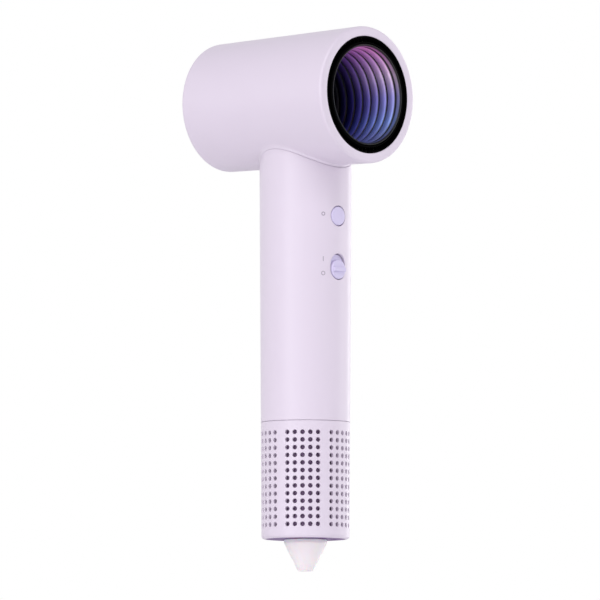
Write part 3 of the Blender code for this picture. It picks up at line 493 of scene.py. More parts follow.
def spun(part: Surface, angles: np.ndarray) -> Surface:
    """Copy a surface round +Z, turned by each angle."""
    cos, sin = np.cos(angles)[:, None], np.sin(angles)[:, None]
    x, y, z = part.points.T
    points = np.stack([cos * x - sin * y, sin * x + cos * y, np.broadcast_to(z, (len(angles), len(z)))], -1)
    faces = part.faces + (np.arange(len(angles)) * len(x))[:, None, None]
    return Surface(points.reshape(-1, 3), faces.reshape(-1, 4))


def slab(low: Sequence[float], high: Sequence[float], edge: float = 0.0) -> Surface:
    """Make a box with its four long edges along Z rounded off flat by edge."""
    (x0, y0, z0), (x1, y1, z1) = low, high
    ring = np.array([(x0 + edge, y0), (x1 - edge, y0), (x1, y0 + edge), (x1, y1 - edge),
                     (x1 - edge, y1), (x0 + edge, y1), (x0, y1 - edge), (x0, y0 + edge)])
    middle = np.array([(x0 + x1) / 2.0, (y0 + y1) / 2.0])
    inset = middle + (ring - middle) * (1.0 - edge / max(x1 - middle[0], y1 - middle[1]))
    rows = [(middle + 0.0 * ring, z0), (inset, z0), (ring, z0 + edge), (ring, z1 - edge), (inset, z1),
            (middle + 0.0 * ring, z1)]
    return stacked(np.stack([np.column_stack([xy, np.full(len(ring), z)]) for xy, z in rows]))


def obround(radius: float, straight: float, steps: int) -> np.ndarray:
    """Give points evenly spaced along an oblong of two half circles and two straight sides.

    A dense outline is measured along its length, and the points lie at equal lengths. The first is
    on the ray at -135 degrees, as a square's first corner is.

    Args:
        radius: Radius of the two ends.
        straight: Length of the straight sides, 0 for a circle.
        steps: Number of points.

    Returns:
        Shape (steps, 2), offsets across and up from the oblong's middle.
    """
    angle = np.linspace(-0.75 * math.pi, 1.25 * math.pi, 721)
    shift = np.clip(np.sin(angle) * 1e6, -0.5, 0.5) * straight
    dense = np.stack([radius * np.cos(angle), radius * np.sin(angle) + shift], axis=1)
    length = np.concatenate([[0.0], np.cumsum(np.linalg.norm(np.diff(dense, axis=0), axis=1))])
    wanted = np.arange(steps) / steps * length[-1]
    return np.stack([np.interp(wanted, length, dense[:, 0]), np.interp(wanted, length, dense[:, 1])], 1)


def plug(rim: Callable[[float], np.ndarray], rows: Sequence[tuple[float, float]]) -> Surface:
    """Skin a solid with a flat outline: rows of (offset of the rim, height), closed at both ends."""
    loops = [np.column_stack([rim(offset), np.full(len(rim(offset)), height)]) for offset, height in rows]
    ends = [loops[row] * np.array([0.0, 0.0, 1.0]) for row in (0, -1)]
    return stacked(np.stack([ends[0], *loops, ends[1]]))


@dataclass
class HoleSet:
    """Holes of one shape, each in its own patch of a tube's grid.

    Attributes:
        corners: Shape (n, 2), each patch's first column and row.
        span: Columns and rows of a patch.
        radius: Radius of the hole's ends, metres.
        straight: Length of its straight sides.
        edge: Rounding of its outer rim.
        turns: Spans in that rounding.
    """

    corners: np.ndarray
    span: tuple[int, int]
    radius: float
    straight: float = 0.0
    edge: float = 0.12 * MM
    turns: int = 1

    def border(self) -> np.ndarray:
        """Give the columns and rows of the patch's border, counted from its first corner."""
        wide, tall = self.span
        across, up = np.arange(wide), np.arange(tall)
        return np.concatenate([
            np.stack([across, np.zeros(wide, int)], 1), np.stack([np.full(tall, wide), up], 1),
            np.stack([wide - across, np.full(wide, tall)], 1),
            np.stack([np.zeros(tall, int), tall - up], 1)])


@dataclass
class PiercedTube:
    """A tube with rims of any shape at its ends and holes through its wall.

    A grid point is (angle, radius, height), with the angle counted from the front towards +X, and
    becomes (r sin a, -r cos a, h).

    Attributes:
        angles: Column angles of one whole turn, without the closing one.
        outer: Outer grid, shape (columns, rows, 2), radius and height.
        inner: Inner grid of the same shape.
        foot: Rows between the outer and the inner foot, each of shape (columns, 2).
        crown: Rows between the inner and the outer top.
        holes: The sets of holes.
    """

    angles: np.ndarray
    outer: np.ndarray
    inner: np.ndarray
    foot: list[np.ndarray] = field(default_factory=list)
    crown: list[np.ndarray] = field(default_factory=list)
    holes: list[HoleSet] = field(default_factory=list)

    @staticmethod
    def spot(angle: np.ndarray, radius: np.ndarray, height: np.ndarray) -> np.ndarray:
        """Turn angle, radius and height into a place."""
        return np.stack([radius * np.sin(angle), -radius * np.cos(angle), height + 0.0 * angle], axis=-1)

    def lattice(self, grid: np.ndarray, keep: np.ndarray, outward: bool) -> Surface:
        """Skin the grid's kept cells."""
        points = self.spot(self.angles[:, None], grid[..., 0], grid[..., 1])
        columns, rows = grid.shape[:2]
        index = np.arange(columns * rows).reshape(columns, rows)
        after = np.roll(index, -1, axis=0)
        faces = np.stack([index[:, :-1], after[:, :-1], after[:, 1:], index[:, 1:]], axis=-1)[keep]
        return Surface(points.reshape(-1, 3), faces if outward else faces[:, ::-1])

    def belt(self, rows: list[np.ndarray]) -> Surface:
        """Skin the rows of a rim, from the first to the last."""
        loops = np.stack([self.spot(self.angles, row[:, 0], row[:, 1]) for row in rows])
        skin = stacked(loops)
        return Surface(skin.points, skin.faces[:, ::-1])

    def pierce(self, holes: HoleSet) -> Surface:
        """Skin the patches of a set of holes, outer face, wall and inner face.

        The hole's rim at an offset across of x lies at the angle asin(x / r) from its middle, so
        that a straight drill would leave it. Rings run from the patch's border to the rim, round
        the edge, through the wall, and back to the border on the inner face.
        """
        columns = len(self.angles)
        border = holes.border()
        column = holes.corners[:, :1] + border[None, :, 0]
        row = holes.corners[:, 1:] + border[None, :, 1]
        turn = self.angles[column % columns] + TAU * (column // columns)
        outer, inner = self.outer[column % columns, row], self.inner[column % columns, row]
        middle = (turn.max(axis=1) + turn.min(axis=1))[:, None] / 2.0
        level = (outer[..., 1].max(axis=1) + outer[..., 1].min(axis=1))[:, None] / 2.0

        def ring(offset: float, radius: np.ndarray) -> np.ndarray:
            """Give the hole's rim, grown by the offset, at a radius of the tube."""
            rim = obround(holes.radius + offset, holes.straight, len(border))
            return self.spot(middle + np.arcsin(rim[None, :, 0] / radius), radius, level + rim[None, :, 1])

        rings = [self.spot(turn, outer[..., 0], outer[..., 1])]
        for share in np.linspace(0.0, math.pi / 2.0, holes.turns + 1):
            rings.append(ring(holes.edge * (1.0 - math.sin(share)),
                              outer[..., 0] - holes.edge * (1.0 - math.cos(share))))
        rings += [ring(0.0, inner[..., 0]), self.spot(turn, inner[..., 0], inner[..., 1])]
        loops = np.stack(rings, axis=1)
        number, deep, steps = loops.shape[:3]
        index = np.arange(number * deep * steps).reshape(number, deep, steps)
        after = np.roll(index, -1, axis=2)
        faces = np.stack([index[:, :-1], after[:, :-1], after[:, 1:], index[:, 1:]], axis=-1)
        return Surface(loops.reshape(-1, 3), faces.reshape(-1, 4))

    def surface(self) -> Surface:
        """Put the faces, the two rims and the holes together."""
        keep = np.ones((len(self.angles), self.outer.shape[1] - 1), bool)
        for holes in self.holes:
            wide, tall = holes.span
            column = (holes.corners[:, 0, None, None] + np.arange(wide)[None, :, None]) % len(self.angles)
            keep[column, holes.corners[:, 1, None, None] + np.arange(tall)[None, None, :]] = False
        foot = [self.outer[:, 0], *self.foot, self.inner[:, 0]]
        crown = [self.inner[:, -1], *self.crown, self.outer[:, -1]]
        return joined([self.lattice(self.outer, keep, True), self.lattice(self.inner, keep, False),
                       self.belt(foot), self.belt(crown), *(self.pierce(holes) for holes in self.holes)])


# ---- pieces ---------------------------------------------------------------------------------
class Merge(Enum):
    """How a second solid changes the first."""

    ADD = "UNION"
    CUT = "DIFFERENCE"


def mesh_of(name: str, surface: Surface) -> bpy.types.Object:
    """Make a mesh object of a surface, welded and facing outward."""
    solid = surface.welded()
    mesh = bpy.data.meshes.new(name)
    mesh.from_pydata(solid.points.tolist(), [], solid.polygons())
    mesh.update()
    thing = bpy.data.objects.new(name, mesh)
    bpy.context.scene.collection.objects.link(thing)
    return thing


def reshape(thing: bpy.types.Object, way: Merge, other: Surface) -> None:
    """Add or cut a second solid and keep the result as the first one's mesh."""
    tool = mesh_of(thing.name + "_tool", other)
    modifier = thing.modifiers.new("merge", "BOOLEAN")
    modifier.operation, modifier.solver, modifier.object = way.value, "EXACT", tool
    bpy.context.view_layer.update()
    shaped = thing.evaluated_get(bpy.context.evaluated_depsgraph_get())
    mesh = bpy.data.meshes.new_from_object(shaped)
    thing.modifiers.clear()
    thing.data = mesh
    bpy.data.objects.remove(tool)


def finish_piece(thing: bpy.types.Object, finish: Finish, body: str, stands_for: Sequence[str] = (),
                 crease: float = 38.0) -> bpy.types.Object:
    """Dress a piece, shade it smooth but for its creases, and hang it on its body.

    Args:
        thing: The mesh object.
        finish: Its finish.
        body: The CAD body that it moves with.
        stands_for: The CAD nodes that it replaces.
        crease: Edges that turn by more than this, in degrees, stay sharp.

    Returns:
        The same object.
    """
    mesh = thing.data
    mesh.materials.clear()
    mesh.materials.append(finish.build())
    mesh.polygons.foreach_set("use_smooth", np.ones(len(mesh.polygons), bool))
    mesh.polygons.foreach_set("material_index", np.zeros(len(mesh.polygons), np.int32))
    mesh.set_sharp_from_angle(angle=math.radians(crease))
    mesh.update()
    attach(thing, body)
    if stands_for:
        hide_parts(*stands_for)
    LOG.info("%s: %d faces on %s", thing.name, len(mesh.polygons), body)
    return thing


# ---- the frame's places ---------------------------------------------------------------------
@dataclass(frozen=True)
class Layout:
    """Places read off the frame, and the sizes of the two casings that everything else follows.

    Attributes:
        gap: Clearance between pieces that touch.
        head_wall: Wall of the head.
        handle_wall: Wall of the handle.
        head_taper: Head's radius at its front less that at its rear.
        handle_top: Handle's radius under the head.
        handle_end: Handle's radius at the bottom of the sleeve.
        neck_height: Height of the head's own neck, which shows above the handle's seam.
        front: Distance ahead of the head's front face.
        rear: Distance ahead of its rear face, below 0.
        head_z: Height of the head's axis.
        bottom_z: Height of the sleeve's bottom.
        seam_z: Height of the seam between handle and sleeve.
        button_z: Height of the mode button's middle.
        knob_z: Height of the power knob's middle, switched off.
    """

    gap: float = 0.11 * MM
    head_wall: float = 1.8 * MM
    handle_wall: float = 1.8 * MM
    head_taper: float = 1.7 * MM
    handle_top: float = 20.7 * MM
    handle_end: float = 19.8 * MM
    neck_height: float = 1.0 * MM

    front: float = field(default_factory=lambda: -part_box("head_shell")[0].y)
    rear: float = field(default_factory=lambda: -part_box("head_shell")[1].y)
    head_z: float = field(default_factory=lambda: sum(c.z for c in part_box("bore_liner")) / 2.0)
    bottom_z: float = field(default_factory=lambda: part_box("inlet_sleeve")[0].z)
    seam_z: float = field(default_factory=lambda: (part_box("inlet_sleeve")[1].z
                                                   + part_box("handle_shell")[0].z) / 2.0)
    button_z: float = field(default_factory=lambda: sum(c.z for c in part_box("mode_button")) / 2.0)
    knob_z: float = field(default_factory=lambda: sum(c.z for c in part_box("power_knob")) / 2.0)

    @property
    def head_front(self) -> float:
        """Head's radius at the front face."""
        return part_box("head_shell")[1].x

    def head_radius(self, ahead: Any) -> Any:
        """Head's outer radius: it falls evenly from the front face to the rear."""
        return self.head_front - self.head_taper * (self.front - ahead) / (self.front - self.rear)

    @property
    def underside_z(self) -> float:
        """Lowest line of the head over the handle's axis."""
        return self.head_z - self.head_radius(0.0)

    def handle_radius(self, height: Any) -> Any:
        """Handle's outer radius: it falls evenly from the head to the bottom."""
        share = (self.underside_z - height) / (self.underside_z - self.bottom_z)
        return self.handle_top + (self.handle_end - self.handle_top) * share

    def saddle(self, angle: Any, radius: Any, clear: float) -> Any:
        """Height where a line at that angle and radius from the handle's axis meets the head.

        With x = r sin a across and f = r cos a ahead, the head's surface grown by the clearance c
        is at z = head axis - sqrt((R(f) + c)^2 - x^2).
        """
        across, ahead = radius * np.sin(angle), radius * np.cos(angle)
        return self.head_z - np.sqrt((self.head_radius(ahead) + clear) ** 2 - across ** 2)


# ---- head -----------------------------------------------------------------------------------
@dataclass
class Head:
    """The round casing with its rolled front rim, the outlet ring, the ribbed bore and the cover."""

    at: Layout
    rim: float = 4.4 * MM               # width of the flat front face
    slot: float = 3.8 * MM              # width of the annular outlet
    slot_depth: float = 6.0 * MM
    collar_wall: float = 1.2 * MM
    edge: float = 1.5 * MM              # rounding of the casing's two outer edges
    lip: float = 0.4 * MM               # thickness of the bore's lip
    lip_length: float = 3.2 * MM
    bore_wall: float = 0.8 * MM
    rib_height: float = 1.1 * MM
    rib_pitch: float = 5.0 * MM
    rib_count: int = 11
    vanes: int = 60
    vane_back: float = 3.2 * MM         # front face to the vanes
    spigot_depth: float = 12.0 * MM
    spigot_wall: float = 1.6 * MM
    slide: float = 0.6 * MM
    neck_edge: float = 0.2 * MM
    neck_blend: float = 1.3 * MM        # how far out the neck's side runs into the head
    cover_thick: float = 1.6 * MM
    skirt_inset: float = 1.8 * MM       # cover's edge to its skirt
    skirt_wall: float = 1.2 * MM
    skirt_height: float = 1.8 * MM
    post: float = 2.3 * MM              # radius of a board post
    post_bore: float = 1.1 * MM
    post_inset: float = 8.4 * MM        # cover's edge to the posts' circle
    steps: int = 192

    @property
    def slot_outer(self) -> float:
        """Outer radius of the annular outlet."""
        return self.at.head_front - self.rim

    @property
    def groove(self) -> float:
        """Radius at the bottom of the bore's grooves."""
        return self.slot_outer - self.slot - self.lip

    def build(self) -> None:
        """Make the head's pieces."""
        self.casing()
        self.outlet_ring()
        self.bore()
        self.rear_cover()

    def casing(self) -> None:
        """Turn the casing as a solid, add its neck and spigot, then hollow it out."""
        at, wall, beyond = self.at, self.at.head_wall, 0.01
        inside = at.head_radius(at.rear) - wall
        sides = rounded([(0.0, at.rear, 0.0), (at.head_radius(at.rear), at.rear, self.edge),
                         (at.head_front, at.front, self.edge), (0.0, at.front, 0.0)], 6)[1:-1]
        shape = fine(sides, 4.0 * MM)
        casing = mesh_of("head_casing", turned(np.concatenate([
            [(0.0, at.rear)], shape, [(0.0, at.front)]]), self.steps).facing_front(at.head_z))
        reshape(casing, Merge.ADD, self.neck_solid())
        spigot = at.handle_radius(at.underside_z) - at.handle_wall - self.slide
        low = at.underside_z - self.spigot_depth
        reshape(casing, Merge.ADD, turned(rounded([
            (0.0, low, 0.0), (spigot, low, 0.3 * MM), (spigot, at.head_z - 8.0 * MM, 0.0),
            (0.0, at.head_z - 8.0 * MM, 0.0)]), 96))
        collar, mouth = self.slot_outer + self.collar_wall, 0.35 * MM
        turn = np.linspace(0.0, math.pi / 2.0, 5)
        flare = [(self.slot_outer + mouth * (1.0 - math.cos(t)), at.front - mouth * (1.0 - math.sin(t)))
                 for t in turn]
        reshape(casing, Merge.CUT, turned(np.array([
            (0.0, at.rear - beyond), (inside, at.rear - beyond), (inside, at.rear),
            (at.head_front - wall, at.front - wall), (collar, at.front - wall),
            (collar, at.front - self.slot_depth), (self.slot_outer, at.front - self.slot_depth), *flare,
            (self.slot_outer + mouth, at.front + beyond), (0.0, at.front + beyond)]), self.steps)
            .facing_front(at.head_z))
        reshape(casing, Merge.CUT, turned(np.array([
            (0.0, low - beyond), (spigot - self.spigot_wall, low - beyond),
            (spigot - self.spigot_wall, at.head_z), (0.0, at.head_z)]), 96))
        finish_piece(casing, SATIN_LILAC, "housing", ["head_shell"])

    def neck_solid(self) -> Surface:
        """Skin the short neck that the handle's top seam closes on.

        Its foot is the head's own surface grown by the neck's height, row by row from the handle's
        axis out to the handle's radius. Its side runs out into the head along a quadratic curve from
        the foot's edge, with the crease between neck and head as its control point.
        """
        at = self.at
        angle = np.arange(self.steps) * TAU / self.steps
        radius = at.handle_radius(at.underside_z)
        rows = [PiercedTube.spot(angle, far, at.saddle(angle, far, at.neck_height))
                for far in np.linspace(0.0, radius - self.neck_edge, 9)]
        for share in np.linspace(0.0, math.pi / 2.0, 4)[1:]:
            far = radius - self.neck_edge * (1.0 - math.sin(share))
            rows.append(PiercedTube.spot(angle, far, at.saddle(angle, far, at.neck_height)
                                         + self.neck_edge * (1.0 - math.cos(share))))
        wide = radius + self.neck_blend
        start = at.saddle(angle, radius, at.neck_height) + self.neck_edge
        crease, end = at.saddle(angle, radius, 0.0), at.saddle(angle, wide, -0.05 * MM)
        for t in np.linspace(0.0, 1.0, 7)[1:]:
            far = radius + self.neck_blend * t ** 2
            rows.append(PiercedTube.spot(angle, far, (1.0 - t) ** 2 * start + 2.0 * t * (1.0 - t) * crease
                                         + t ** 2 * end))
        top = np.full(self.steps, at.head_z - 6.0 * MM)
        rows += [PiercedTube.spot(angle, wide, top), PiercedTube.spot(angle, 0.0 * angle, top)]
        return stacked(np.stack(rows))

    def outlet_ring(self) -> None:
        """Make the black lining of the outlet, with thin vanes between its two walls."""
        at, gap = self.at, self.at.gap
        low, face = at.front - self.slot_depth + gap, at.front - 0.1 * MM
        high = at.front - self.vane_back
        outer, inner, rim = self.slot_outer - 0.1 * MM, self.groove + self.bore_wall + gap, 0.6 * MM
        walls = [turned(rounded([(far, low, 0.0), (far, face, 0.15 * MM), (near, face, 0.15 * MM),
                                 (near, low, 0.0)], 2), self.steps)
                 for near, far in ((outer - rim, outer), (inner, inner + rim))]
        vane = slab((inner + rim / 2.0, -0.2 * MM, low + 0.4 * MM),
                    (outer - rim / 2.0, 0.2 * MM, high - 0.4 * MM))
        vanes = spun(vane, np.arange(self.vanes) * TAU / self.vanes)
        ring = mesh_of("outlet_ring", joined([*walls, vanes]).facing_front(at.head_z))
        finish_piece(ring, HEATPROOF_BLACK, "housing", ["outlet_grille"])

    def bore(self) -> None:
        """Turn the ribbed bore.

        With t the way across a rib, 0 to 1, its radius is groove - height (1 - |2 t - 1|^2.4): a
        round crest between two narrow grooves.
        """
        at, samples = self.at, 14
        mouth = at.front
        back = mouth - self.lip_length - self.rib_count * self.rib_pitch
        share = np.arange(samples) / samples
        crest = 1.0 - np.abs(2.0 * share - 1.0) ** 2.4
        along = back + (np.arange(self.rib_count)[:, None] + share[None]) * self.rib_pitch
        ribs = np.stack([self.groove - self.rib_height * np.broadcast_to(crest, along.shape), along], -1)
        lip_height = 0.5 * self.rib_height
        lip = np.stack([self.groove - lip_height * crest, mouth - self.lip_length * (1.0 - share)], 1)
        outer = self.groove + self.bore_wall
        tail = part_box("bore_liner")[1].y
        outline = np.concatenate([ribs.reshape(-1, 2), lip, [
            (self.groove, mouth - 0.05 * MM), (self.groove + self.lip / 2.0, mouth),
            (self.groove + self.lip, mouth - 0.05 * MM), (outer, mouth - 1.5 * MM), (outer, -tail),
            (self.groove, -tail)]])
        lining = mesh_of("bore_lining", turned(outline, self.steps).facing_front(at.head_z))
        # The film's hues from blue to pink are the plating's own; its dark lowest stop is painted shade at
        # the bottom of the bore, and its near-white stop at 0.72 is the pink lightened into a painted
        # highlight.
        film = PlatedBore("aluminium vapour plated", "bore_metal", "#A090D0", 0.42, metallic=0.45,
                          grain=0.3 * MM, relief=0.001 * MM, low=at.head_z - self.groove,
                          high=at.head_z + self.groove, mouth=-mouth, depth=0.038, groove=self.groove,
                          stops=((0.0, "#4A5078"), (0.11, "#7C8CC8"), (0.27, "#86A2E8"), (0.52, "#B2AEF6"),
                                 (0.72, "#FCDEFF"), (0.88, "#FFBCF8"), (1.0, "#FF90E0")))
        finish_piece(lining, film, "housing", ["bore_liner"])

    def rear_cover(self) -> None:
        """Turn the snap-in cover that closes the head's rear."""
        at = self.at
        radius = at.head_radius(at.rear) - at.head_wall - at.gap
        plate, skirt = at.rear + self.cover_thick, radius - self.skirt_inset
        tip, within = plate + self.skirt_height, skirt - self.skirt_wall
        outline = rounded([(0.0, at.rear, 0.0), (radius, at.rear, 0.3 * MM), (radius, plate, 0.0),
                           (skirt, plate, 0.0), (skirt, tip, 0.2 * MM), (within, tip, 0.2 * MM),
                           (within, plate, 0.0), (0.0, plate, 0.0)])
        cover = mesh_of("rear_cap", turned(outline, self.steps).facing_front(at.head_z))
        root, floor, top = at.rear + 1.2 * MM, at.rear + 1.8 * MM, at.rear + 4.0 * MM
        post = turned(rounded([(0.0, root, 0.0), (self.post, root, 0.0), (self.post, top, 0.2 * MM),
                               (self.post_bore, top, 0.0), (self.post_bore, floor, 0.0),
                               (0.0, floor, 0.0)], 2), 24)
        posts = spun(post.moved(x=radius - self.post_inset), THREE_WAYS)
        reshape(cover, Merge.ADD, posts.facing_front(at.head_z))
        finish_piece(cover, SATIN_LILAC, "housing", ["rear_cover"])


# ---- handle ---------------------------------------------------------------------------------
@dataclass
class Handle:
    """The tube under the head, with its saddle-shaped top, two openings and printed marks."""

    at: Layout
    button_hole: float = 4.65 * MM
    window: float = 4.65 * MM
    travel: float = 2.5 * MM
    patch: float = 6.6 * MM             # half size of the grid's patch round an opening
    seam_edge: float = 0.2 * MM
    hole_edge: float = 0.22 * MM
    mark_angle: float = -23.9           # degrees from the front, to the printed marks
    ink: float = 0.03 * MM              # thickness of the print
    stroke: float = 0.36 * MM           # width of a printed line
    mode_mark: float = 0.95 * MM        # radius of the ring beside the button
    off_mark: float = 1.0 * MM          # radius of the circle beside the knob
    on_mark: float = 2.0 * MM           # length of the stroke beside the knob
    mode_mark_up: float = 0.6 * MM      # button's middle up to its mark
    off_mark_up: float = -2.0 * MM      # knob's middle up to its marks
    on_mark_up: float = 4.45 * MM

    def build(self) -> None:
        """Make the handle's pieces."""
        self.casing()
        self.marks()

    def casing(self) -> None:
        """Lay out the tube's grid round its two openings, and skin it."""
        at, spans = self.at, 16
        turn = self.patch / at.handle_radius(at.button_z)
        angles = np.concatenate([np.linspace(-turn, turn, spans + 1)[:-1],
                                 np.linspace(turn, TAU - turn, 145)[:-1]])
        window_z = at.knob_z + self.travel / 2.0
        tall = self.patch + self.travel / 2.0
        low = at.seam_z + at.gap / 2.0
        levels = np.concatenate([
            [low + self.seam_edge, low + 2.0 * self.seam_edge],
            np.linspace(low + 4.0 * MM, window_z - tall, 14)[:-1],
            np.linspace(window_z - tall, window_z + tall, spans + 1)[:-1],
            np.linspace(window_z + tall, at.button_z - self.patch, 4)[:-1],
            np.linspace(at.button_z - self.patch, at.button_z + self.patch, spans + 1)])
        first_window, first_button = 2 + 13, 2 + 13 + spans + 3
        top = at.button_z + self.patch
        grids = []
        for wall, drop in ((0.0, self.seam_edge), (at.handle_wall, 0.0)):
            radius = at.handle_radius(top) - wall
            crown = at.saddle(angles, radius, at.neck_height + at.gap) - drop
            above = top + (crown[:, None] - top) * np.linspace(0.0, 1.0, 9)[None, 1:]
            height = np.concatenate([np.broadcast_to(levels, (len(angles), len(levels))), above], axis=1)
            if wall:
                height = np.concatenate([np.full((len(angles), 1), low), height[:, 1:]], axis=1)
            grids.append(np.stack([at.handle_radius(height) - wall, height], axis=-1))
        radius = at.handle_radius(at.underside_z)
        crown = []
        for share in np.linspace(0.0, math.pi / 2.0, 4)[:-1]:
            rim = radius - self.seam_edge * (1.0 - math.sin(share))
            height = (at.saddle(angles, rim, at.neck_height + at.gap)
                      - self.seam_edge * (1.0 - math.cos(share)))
            crown.append(np.stack([np.full(len(angles), rim), height], axis=1))
        foot = [np.stack([np.full(len(angles), at.handle_radius(low) - self.seam_edge * cut),
                          np.full(len(angles), low + self.seam_edge * lift)], axis=1)
                for cut, lift in ((0.3, 0.3), (1.0, 0.0))]
        tube = PiercedTube(angles, grids[0], grids[1], foot, crown, [
            HoleSet(np.array([[0, first_window]]), (spans, spans), self.window, self.travel,
                    self.hole_edge, 3),
            HoleSet(np.array([[0, first_button]]), (spans, spans), self.button_hole, 0.0,
                    self.hole_edge, 3)])
        finish_piece(mesh_of("handle_casing", tube.surface()), SATIN_LILAC, "housing", ["handle_shell"])

    def mark(self, name: str, loops: Sequence[np.ndarray], height: float) -> None:
        """Wrap a flat mark round the handle.

        A loop's point (x, z) goes to the angle x / r beside the mark's own and to the height z. Rows
        run from the outer loop's foot over the ink to the inner loop's foot.

        Args:
            name: The piece's name.
            loops: The mark's outer loop, and its inner loop or a loop that has shrunk to a line.
            height: Height of the mark's middle.
        """
        at, rows = self.at, []
        for loop, lift in ((loops[0], -self.ink), (loops[0], self.ink), (loops[1], self.ink),
                           (loops[1], -self.ink), (loops[0], -self.ink)):
            level = height + loop[:, 1]
            radius = at.handle_radius(level) + lift
            angle = math.radians(self.mark_angle) + loop[:, 0] / radius
            rows.append(PiercedTube.spot(angle, radius, level))
        finish_piece(mesh_of(name, stacked(np.stack(rows))), PRINT_INK, "housing")

    def marks(self) -> None:
        """Print the ring beside the button and the on and off marks beside the knob."""
        at, stroke = self.at, self.stroke
        within = self.mode_mark - 1.3 * stroke
        self.mark("mode_mark", [obround(self.mode_mark, 0.0, 40), obround(within, 0.0, 40)],
                  at.button_z + self.mode_mark_up)
        self.mark("off_mark", [obround(self.off_mark, 0.0, 40), obround(self.off_mark - stroke, 0.0, 40)],
                  at.knob_z + self.off_mark_up)
        spine = obround(0.01 * MM, self.on_mark, 24)
        self.mark("on_mark", [obround(stroke / 2.0, self.on_mark, 24), spine], at.knob_z + self.on_mark_up)


# ---- controls -------------------------------------------------------------------------------
@dataclass
class Controls:
    """The mode button, the power knob with its grip rib, and the oblong well behind the knob."""

    at: Layout
    radius: float = 4.35 * MM
    travel: float = 2.5 * MM
    edge: float = 0.7 * MM
    well_depth: float = 1.4 * MM
    knob_proud: float = 0.3 * MM
    rib_proud: float = 0.8 * MM
    rib_half: float = 0.9 * MM

    def build(self) -> None:
        """Make the two keys and the well."""
        self.button()
        self.well()
        self.knob()

    def button(self) -> None:
        """Turn the button: a flat face with a soft edge, a flange behind the wall and a stem."""
        at = self.at
        back, face = -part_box("mode_button")[1].y, -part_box("mode_button")[0].y
        bore = at.handle_radius(at.button_z) - at.handle_wall
        flange = self.radius + 0.9 * MM
        front = math.sqrt(bore ** 2 - flange ** 2) - at.gap
        outline = rounded([(0.0, back, 0.0), (1.5 * MM, back, 0.1 * MM), (1.5 * MM, front - 0.9 * MM, 0.0),
                           (flange, front - 0.9 * MM, 0.1 * MM), (flange, front, 0.1 * MM),
                           (self.radius, front, 0.0), (self.radius, face, self.edge), (0.0, face, 0.0)], 6)
        button = mesh_of("mode_key", turned(outline, 96).facing_front(at.button_z))
        finish_piece(button, SATIN_VIOLET, "mode_button", ["mode_button"])

    def well(self) -> None:
        """Make the oblong well: a floor that fills the window and a flange behind the wall."""
        at = self.at
        plate_back = -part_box("switch_well")[1].y
        floor = at.handle_radius(at.knob_z) - self.well_depth
        flange, steps = 1.6 * MM, 96
        middle = self.travel / 2.0
        rows = [(flange, plate_back), (flange, plate_back + 0.8 * MM), (0.0, plate_back + 0.8 * MM),
                (0.0, floor - 0.15 * MM), (-0.15 * MM, floor)]
        well = mesh_of("knob_well", plug(lambda grow: obround(self.radius + grow, self.travel, steps), rows)
                       .moved(y=middle).facing_front(at.knob_z))
        stem = slab((-1.3 * MM, -1.2 * MM, plate_back - 1.0 * MM),
                    (1.3 * MM, 1.2 * MM + self.travel, floor + 1.0 * MM))
        reshape(well, Merge.CUT, stem.facing_front(at.knob_z))
        finish_piece(well, SATIN_VIOLET, "housing", ["switch_well"])

    def knob(self) -> None:
        """Turn the knob's disc, and add the rib that the thumb pushes and the stem behind it."""
        at = self.at
        floor = at.handle_radius(at.knob_z) - self.well_depth
        back, face = floor + at.gap, at.handle_radius(at.knob_z) + self.knob_proud
        stem_back = -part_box("power_knob")[1].y
        outline = rounded([(0.0, back, 0.0), (self.radius, back, 0.15 * MM),
                           (self.radius, face, self.edge), (0.0, face, 0.0)], 6)
        knob = mesh_of("power_key", turned(outline, 96).facing_front(at.knob_z))
        reach = self.radius - 0.45 * MM
        rib = slab((-reach, -self.rib_half, face - 0.5 * MM), (reach, self.rib_half, face + self.rib_proud),
                   0.25 * MM)
        reshape(knob, Merge.ADD, rib.facing_front(at.knob_z))
        stem = slab((-1.0 * MM, -0.9 * MM, stem_back), (1.0 * MM, 0.9 * MM, back + 0.3 * MM))
        reshape(knob, Merge.ADD, stem.facing_front(at.knob_z))
        finish_piece(knob, SATIN_VIOLET, "power_knob", ["power_knob"])


